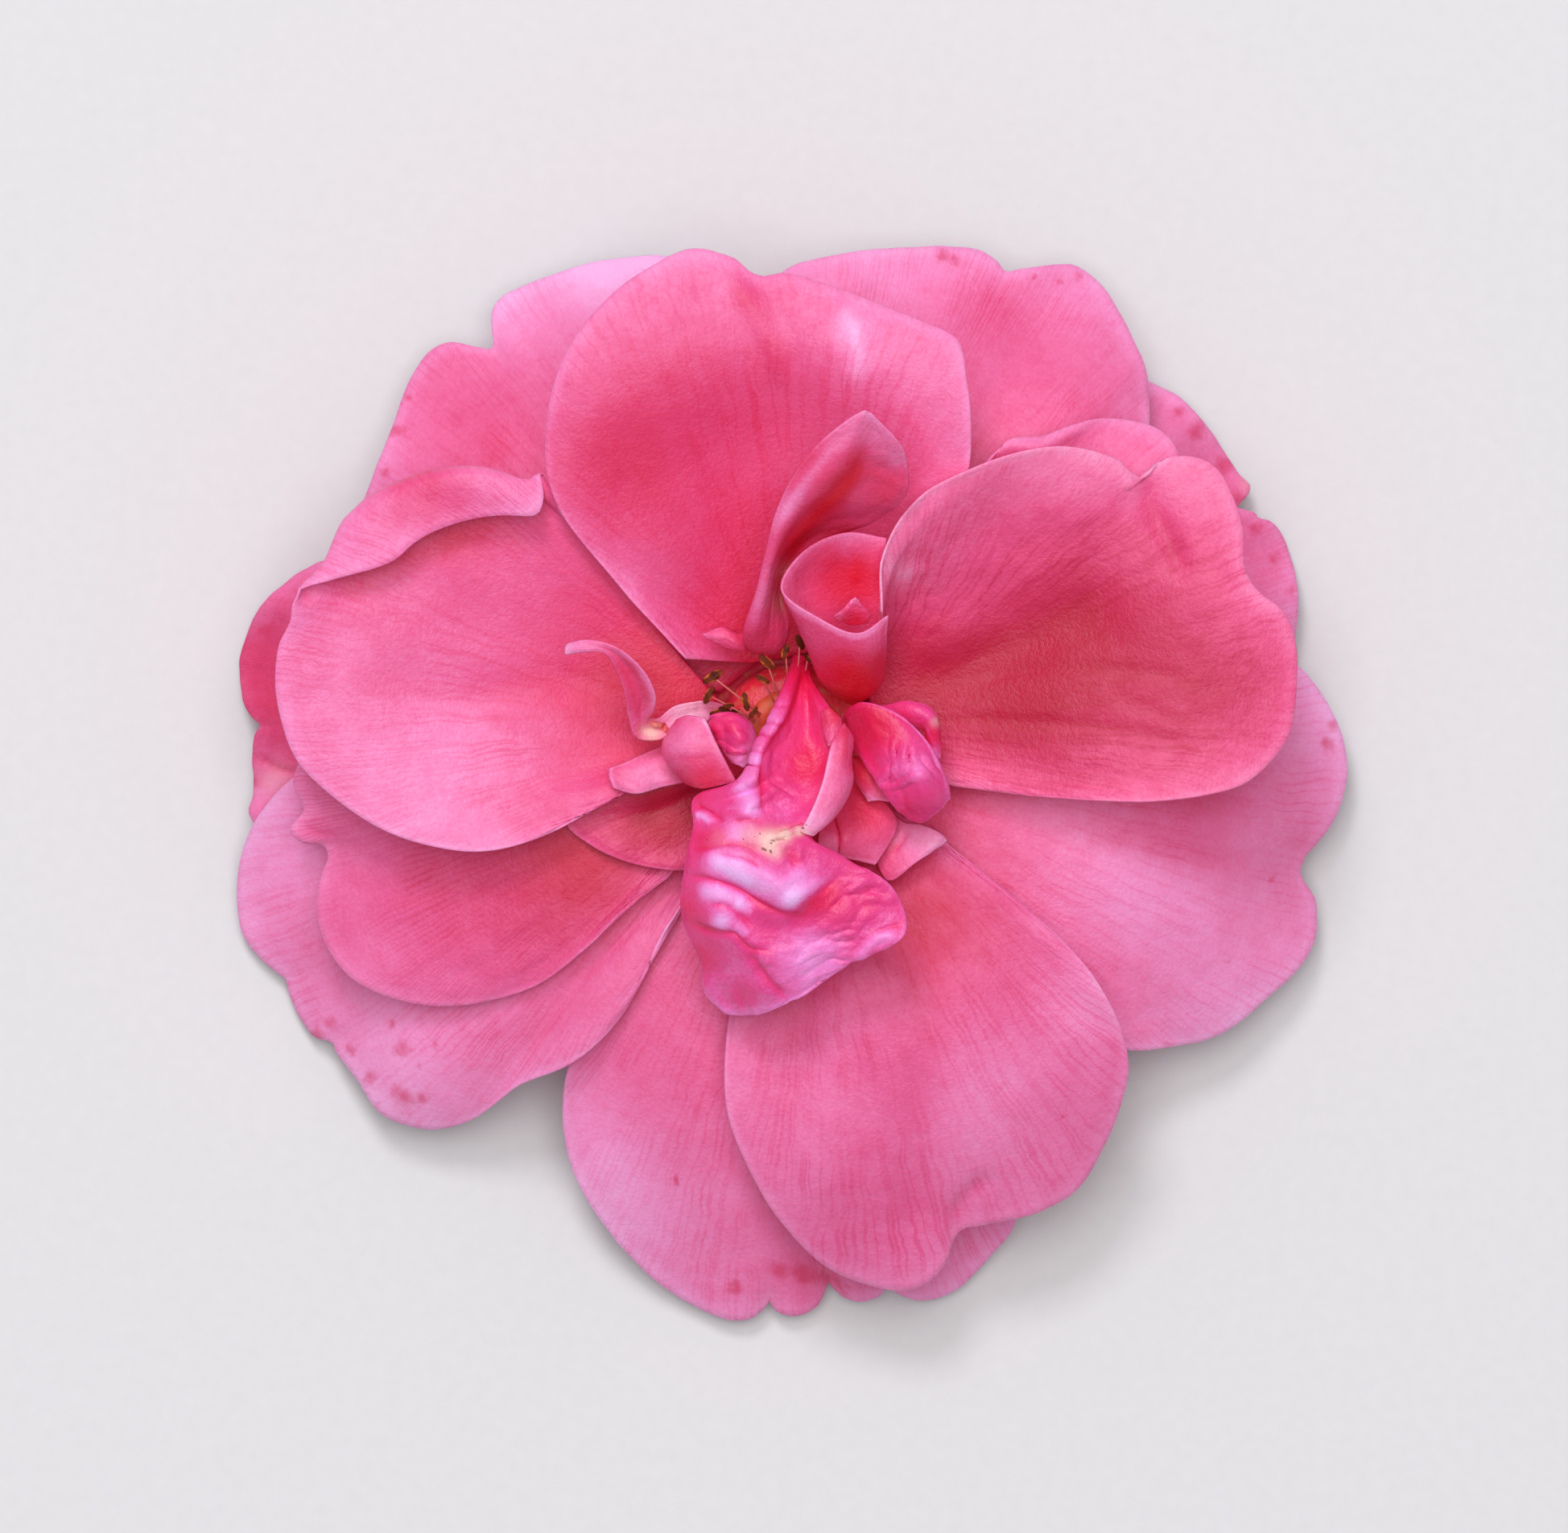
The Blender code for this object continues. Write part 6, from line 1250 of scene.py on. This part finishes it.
def anther_finish():
    """A ripe anther: shrunken and dark brown, with golden pollen along its open seams."""
    made, bench, skin = new_finish("anther_brown")
    clouds, grain = bench.noise(skin, 1500, 3), bench.noise(skin, 9000)
    pollen = (bench.attribute("seam") + 1.6 * clouds + 0.4 * grain).eased(0.55, 1)
    husk = bench.mix((0.5 + 1.5 * clouds).kept_in(0, 1), (48, 14, 8), (140, 56, 28))
    return dressed(made, {
        "Base Color": bench.mix(pollen * 0.9, husk, (222, 128, 60)), "Roughness": 0.55 + 0.3 * pollen,
        "Normal": bench.bump(0.08 * grain * pollen + 0.1 * clouds), "Specular IOR Level": 0.12,
    })


class Growth(Bench):
    """A tree of Geometry Nodes with named inputs."""

    def __init__(self, name, inputs):
        super().__init__(bpy.data.node_groups.new(name, "GeometryNodeTree"))
        face = self.tree.interface
        face.new_socket("Geometry", in_out="INPUT", socket_type="NodeSocketGeometry")
        face.new_socket("Geometry", in_out="OUTPUT", socket_type="NodeSocketGeometry")
        for label, kind in inputs.items():
            face.new_socket(label, in_out="INPUT", socket_type="NodeSocket" + kind)
        node = self.tree.nodes.new("NodeGroupInput")
        self.given = {output.name: Wire(output) for output in node.outputs if output.name}

    def finish(self, geometry):
        plug(self.tree.nodes.new("NodeGroupOutput").inputs[0], geometry)
        return self.tree

    def join(self, *geometries):
        node = self.tree.nodes.new("GeometryNodeJoinGeometry")
        for geometry in geometries:
            self.tree.links.new(geometry.socket, node.inputs[0])
        return Wire(node.outputs[0])

    def named(self, name, kind="FLOAT"):
        return self.add("GeometryNodeInputNamedAttribute", {"Name": name}, data_type=kind)


def grown(tree, seed_mesh, **inputs):
    """The plain mesh that a tree grows on a mesh."""
    base = placed("seed", seed_mesh)
    grow = base.modifiers.new("grow", "NODES")
    grow.node_group = tree
    for item in tree.interface.items_tree:
        if item.item_type == "SOCKET" and item.in_out == "INPUT" and item.name in inputs:
            grow[item.identifier] = inputs[item.name]
    bpy.context.view_layer.update()
    graph = bpy.context.evaluated_depsgraph_get()
    mesh = bpy.data.meshes.new_from_object(base.evaluated_get(graph))
    base.modifiers.remove(grow)
    bpy.data.objects.remove(base)
    return mesh


def stalks(tree, name, runs, kind, stalk_finish, head_finish):
    """Stalks with heads of one kind, along runs of (start, end, turn and size of the head)."""
    thickness, bend, head, groove = kind
    length, width, depth = (size * MM for size in head)
    mesh = new_mesh(name, [place for run in runs for place in run[:2]],
                    [(2 * i, 2 * i + 1) for i in range(len(runs))], [])
    keep_on_points(mesh, "tip", [0, 1] * len(runs))
    keep_on_points(mesh, "size", [run[3] for run in runs for _ in range(2)])
    keep_on_points(mesh, "turn", [run[2] for run in runs for _ in range(2)], "FLOAT_VECTOR")
    return grown(tree, mesh, Thickness=thickness * MM, Bend=bend * MM, Head_length=length, Head_width=width,
                 Head_depth=depth, Groove=groove, Stalk_finish=stalk_finish, Head_finish=head_finish)


def haired(tree, mesh, kind, seed, finish):
    """Hairs of one kind on a mesh whose points keep how hairy they are, as down."""
    density, length, thickness = kind
    return grown(tree, mesh.copy(), Density=density, Length=length * MM, Thickness=thickness * MM,
                 Seed=seed, Finish=finish)


def stalks_with_heads():
    """A tree that grows a bent stalk along each edge of a mesh, with a head at the edge's far end.

    A point's tip attribute is 1 at a far end, and its turn and size attributes are those of the head there.
    """
    tree = Growth("stalks_with_heads", {
        "Thickness": "Float", "Bend": "Float", "Head_length": "Float", "Head_width": "Float",
        "Head_depth": "Float", "Groove": "Float", "Stalk_finish": "Material", "Head_finish": "Material",
    })
    given = tree.given
    curve = tree.add("GeometryNodeMeshToCurve", {0: given["Geometry"]})
    curve = tree.add("GeometryNodeResampleCurve", {"Curve": curve, "Count": 9})
    along = tree.add("GeometryNodeSplineParameter")
    bow = (along * (1 - along) * 4) * given["Bend"]
    width = 1.15 - 0.4 * along
    bent = tree.add("GeometryNodeSetPosition", {"Geometry": curve, "Offset": tree.vector(0, 0, bow)})
    thinner = tree.add("GeometryNodeSetCurveRadius", {"Curve": bent, "Radius": width})
    ring = tree.add("GeometryNodeCurvePrimitiveCircle", {
        "Resolution": 8, "Radius": given["Thickness"] * 0.5})
    stalk = tree.add("GeometryNodeCurveToMesh", {
        "Curve": thinner, "Profile Curve": ring, "Fill Caps": True, "Scale": width,
    })
    stalk = tree.add("GeometryNodeSetMaterial", {"Geometry": stalk, "Material": given["Stalk_finish"]})

    ball = tree.add("GeometryNodeMeshUVSphere", {"Segments": 20, "Rings": 12, "Radius": 1})
    x, y, z = tree.parts(tree.add("GeometryNodeInputPosition"))
    waist = 1 - given["Groove"] * (1 - abs(x).eased(0, 0.4)) * (0.4 + 0.6 * y.above(0))
    ball = tree.add("GeometryNodeStoreNamedAttribute", {"Geometry": ball, "Name": "seam", "Value": abs(x)},
                    data_type="FLOAT", domain="POINT")
    head = tree.add("GeometryNodeSetPosition", {"Geometry": ball, "Position": tree.vector(
        x * given["Head_width"] * 0.5 * (1 - 0.14 * given["Groove"] * z * z),
        y * waist * given["Head_depth"] * 0.5,
        z * given["Head_length"] * 0.5,
    )})
    head = tree.add("GeometryNodeSetMaterial", {"Geometry": head, "Material": given["Head_finish"]})
    tips = tree.add("GeometryNodeMeshToPoints", {0: given["Geometry"], 1: tree.named("tip").above(0.5)})
    heads = tree.add("GeometryNodeInstanceOnPoints", {
        "Points": tips, "Instance": head, "Rotation": tree.named("turn", "FLOAT_VECTOR"),
        "Scale": tree.named("size"),
    })
    heads = tree.add("GeometryNodeRealizeInstances", {"Geometry": heads})
    return tree.finish(tree.add("GeometryNodeSetShadeSmooth", {0: tree.join(stalk, heads)}))


def hairs():
    """A tree that sows short tapered hairs over a mesh, thickest where its down attribute is high."""
    tree = Growth("hairs", {
        "Density": "Float", "Length": "Float", "Thickness": "Float", "Seed": "Int", "Finish": "Material",
    })
    given = tree.given
    node = tree.tree.nodes.new("GeometryNodeDistributePointsOnFaces")
    plug(node.inputs["Mesh"], given["Geometry"])
    plug(node.inputs["Density"], given["Density"] * tree.named("down"))
    plug(node.inputs["Seed"], given["Seed"])
    points, rotation = Wire(node.outputs["Points"]), Wire(node.outputs["Rotation"])
    spread = tree.add("FunctionNodeRandomValue", {0: (-0.5, -0.5, 0.0), 1: (0.5, 0.5, 0.0),
                                                  "Seed": given["Seed"]}, data_type="FLOAT_VECTOR")
    leaning = tree.add("FunctionNodeRotateRotation", {0: rotation, 1: spread}, rotation_space="LOCAL")
    hair = tree.add("GeometryNodeMeshCone", {
        "Vertices": 4, "Radius Top": given["Thickness"] * 0.12, "Radius Bottom": given["Thickness"] * 0.5,
        "Depth": given["Length"],
    })
    size = tree.add("FunctionNodeRandomValue", {2: 0.5, 3: 1.2, "Seed": given["Seed"]}, 1)
    sown = tree.add("GeometryNodeInstanceOnPoints", {
        "Points": points, "Instance": hair, "Rotation": leaning, "Scale": size,
    })
    sown = tree.add("GeometryNodeRealizeInstances", {"Geometry": sown})
    return tree.finish(tree.add("GeometryNodeSetMaterial", {"Geometry": sown, "Material": given["Finish"]}))


def lathe(profile, steps, swell=lambda azimuth, height: 1):
    """A closed turned mesh from a profile of (radius, height), from the axis at its top to that below.

    swell tells how much farther out the surface is in each direction and at each height.
    """
    azimuths = np.linspace(0, 2 * math.pi, steps, endpoint=False)
    points = [(0, 0, profile[0][1])]
    for radius, height in profile[1:-1]:
        for azimuth in azimuths:
            reach = radius * swell(azimuth, height)
            points.append((reach * math.cos(azimuth), reach * math.sin(azimuth), height))
    points.append((0, 0, profile[-1][1]))
    faces = []
    last = len(points) - 1
    for j in range(steps):
        k = (j + 1) % steps
        faces.append((0, 1 + j, 1 + k))
        faces.append((last, last - steps + k, last - steps + j))
        for i in range(len(profile) - 3):
            row = 1 + i * steps
            faces.append((row + j, row + steps + j, row + steps + k, row + k))
    return new_mesh("lathe", points, [], faces)


def hip_and_stalk(skin, hair, hair_tree):
    """The hip with its stub of cut stalk, its calyx rim and the shoulder inside the petals."""
    profile = [
        (0, HIP_TOP), (2.4, HIP_TOP - 0.1), (4.6, HIP_TOP), (5.3, HIP_TOP - 0.5), (5.7, HIP_TOP - 1.6),
        (HIP_SHOULDER, HIP_TOP - 3), (HIP_SHOULDER, CALYX_HEIGHT + 0.5), (6.4, CALYX_HEIGHT + 0.1),
        (7.1, CALYX_HEIGHT), (CALYX_RADIUS, CALYX_HEIGHT - 0.35), (7, CALYX_HEIGHT - CALYX_THICKNESS),
        (5.9, 9.9), (5, 9.5), (4.7, 8.9), (4.85, 8.2), (HIP_BELLY, 7.4), (5, 6.4), (4.75, 5.4),
        (4.3, 4.4), (3.7, 3.7), (2.9, 3.1), (2.3, 2.6), (STALK_RADIUS, STALK_LENGTH), (STALK_RADIUS, 1.1),
        (STALK_RADIUS, 0.12), (STALK_RADIUS - 0.12, 0), (1, 0.05), (0, 0),
    ]

    def swell(azimuth, height):
        belly = math.exp(-((height - 6.5) / 2.4) ** 2)
        return 1 + belly * 0.018 * math.cos(5 * azimuth) + 0.006 * math.sin(11 * azimuth + height)

    mesh = lathe(profile, HIP_STEPS, swell)
    hairy = [0, *[2.4 < height < 9.5 for _, height in profile[1:-1] for _ in range(HIP_STEPS)], 0]
    keep_on_points(mesh, "down", hairy)
    down = haired(hair_tree, mesh, HIP_HAIRS, 3, hair)
    add_piece("hip_and_stalk", mesh, skin, "calyx", "hip")
    add_piece("hip_hairs", down, None, "calyx")


def sepals(leaf, hair, hair_tree):
    """The five sepals, bent down under the petals, with down along their edges."""
    rows, columns = SEPAL_NET
    surface = net_surface(SEPAL_ROWS, rows, columns)
    share = np.linspace(0, 1, rows)[:, None]
    side = np.abs(np.linspace(-1, 1, columns))[None]
    half = blade_half(rows, columns, SEPAL_THICKNESS, SEPAL_RIM_THICKNESS)
    down = (0.06 + side**4) * (share < HAIRY_SHARE)
    for number in range(SEPALS):
        name = f"sepal_{number + 1}"
        angle = math.radians(SEPAL_FIRST_AZIMUTH + number * 360 / SEPALS)
        turn = np.array([[math.cos(angle), math.sin(angle), 0], [-math.sin(angle), math.cos(angle), 0],
                         [0, 0, 1]])
        net = surface @ turn
        lift = 0.16 * ripples((rows, columns), (9, 3), number) * side - 0.12 * np.exp(-((side / 0.1) ** 2))
        net = raised(net, lift * (1 - share**4))
        net[..., 2] = np.maximum(net[..., 2], LOWEST)
        mesh = shell(name + "_leaf", net, half, {"down": down})
        hairs_mesh = haired(hair_tree, mesh, SEPAL_HAIRS, number, hair)
        add_piece(name + "_leaf", mesh, leaf, "calyx", name)
        add_piece(name + "_hairs", hairs_mesh, None, "calyx")


def stamens(filament, anther, disc, tree):
    """The stamens left standing on the open side, and the disc that they stand on."""
    low = HIP_TOP + SEAT_GAP
    top = low + STAMEN_RING_HEIGHT
    inner, outer = STAMEN_RING
    runs = []
    for x, y, height, turn, size in ANTHERS:
        reach = math.hypot(x, y)
        root = np.array([x, y, 0]) / reach * (inner + outer) / 2 + (0, 0, top - 0.2)
        lean = math.radians(90 - 12 * (turn % 5 - 2))
        runs.append((root, (x, y, top + height), (lean, 0, math.radians(turn - 90)), size))
    standing = stalks(tree, "stamens", runs, FILAMENT, filament, anther)
    add_piece("stamens_standing", standing, None, "stamen", "stamens")
    profile = [(0, low), (inner, low), (inner + 0.1, low), (inner + 0.12, top - 0.3), (inner + 0.3, top),
               (outer - 0.4, top), (outer, top - 0.35), (outer, low), (inner, low - 0.01), (0, low - 0.02)]

    def swell(azimuth, height):
        return 1 + 0.02 * math.sin(23 * azimuth) * (height > low + 0.1)

    add_piece("stamen_disc", lathe(profile, DISC_STEPS, swell), disc, "stamen")


def styles(thread, stigma, disc, tree):
    """The styles, close together in the middle, each with its flat stigma."""
    low = HIP_TOP + SEAT_GAP
    top = low + STYLE_PAD_HEIGHT
    runs = []
    for radius, count in STYLE_RINGS:
        for number in range(count):
            azimuth = 2 * math.pi * number / count
            foot = np.array([radius * math.cos(azimuth), radius * math.sin(azimuth), top - 0.3])
            tip = foot * (1.05, 1.05, 1) + (0, 0, STYLE_LENGTH + 0.3 * math.sin(5 * number))
            runs.append((foot, tip, (0, 0, azimuth), 1))
    standing = stalks(tree, "styles", runs, STYLE, thread, stigma)
    add_piece("styles_standing", standing, None, "style", "pistil")
    edge = STYLE_PAD_RADIUS
    pad = lathe([(0, top), (edge * 0.6, top), (edge, top - 0.25), (edge, low), (edge * 0.9, low - 0.01),
                 (0, low - 0.01)], PAD_STEPS)
    add_piece("style_pad", pad, disc, "style")


def studio():
    """A plain pale floor, soft light from above and from the bloom's top side, and the camera."""
    floor = bpy.data.meshes.new("floor")
    floor.from_pydata([(-3, -3, 0), (3, -3, 0), (3, 3, 0), (-3, 3, 0)], [], [(0, 1, 2, 3)])
    made, bench, skin = new_finish("floor_paper")
    paper = bench.mix(0.5 + bench.noise(skin, 900), (226, 226, 224), (232, 232, 230))
    floor.materials.append(dressed(made, {"Base Color": paper, "Roughness": 0.9}))
    placed("floor", floor)

    for name, (place, size, power, colour) in LAMPS.items():
        lamp = bpy.data.lights.new(name, "AREA")
        lamp.shape, lamp.size, lamp.energy, lamp.color = "DISK", size, power, colour
        stand = placed(name, lamp)
        stand.location = place
        stand.rotation_euler = (Vector(LAMPS_AIM) - Vector(place)).to_track_quat("-Z", "Y").to_euler()
    world = bpy.data.worlds.new("room")
    world.use_nodes = True
    plug(world.node_tree.nodes["Background"].inputs["Color"], (0.93, 0.94, 1, 1))
    plug(world.node_tree.nodes["Background"].inputs["Strength"], 0.32)
    bpy.context.scene.world = world
    bpy.context.scene.view_settings.view_transform = "Standard"

    lens = bpy.data.cameras.new("camera")
    lens.sensor_fit, lens.sensor_width = "HORIZONTAL", 36
    lens.lens = lens.sensor_width * VIEW_DISTANCE / VIEW_WIDTH
    camera = placed("camera", lens)
    camera.location = Vector((*VIEW_MIDDLE, VIEW_LEVEL + VIEW_DISTANCE)) * MM
    bpy.context.scene.camera = camera


def main():
    studio()
    finishes = {name: petal_finish(name, *look) for name, look in PETAL_LOOKS.items()}
    inner_petals(finishes, broad_petals(finishes))

    hair_tree, stalk_tree = hairs(), stalks_with_heads()
    hair = thread_finish("pale_hair", (196, 190, 150), (222, 160, 140), 900)
    disc = thread_finish("seat_of_stamens", (226, 40, 66), (224, 110, 56), 500)
    hip_and_stalk(hip_finish(), hair, hair_tree)
    sepals(sepal_finish(), hair, hair_tree)
    filament = thread_finish("filament_rose", (218, 70, 100), (236, 150, 130), 500)
    stamens(filament, anther_finish(), disc, stalk_tree)
    thread = thread_finish("style_rose", (214, 90, 96), (226, 170, 112), 500)
    stigma = thread_finish("stigma_cream", (226, 190, 130), (180, 110, 70), 1400)
    styles(thread, stigma, disc, stalk_tree)


main()
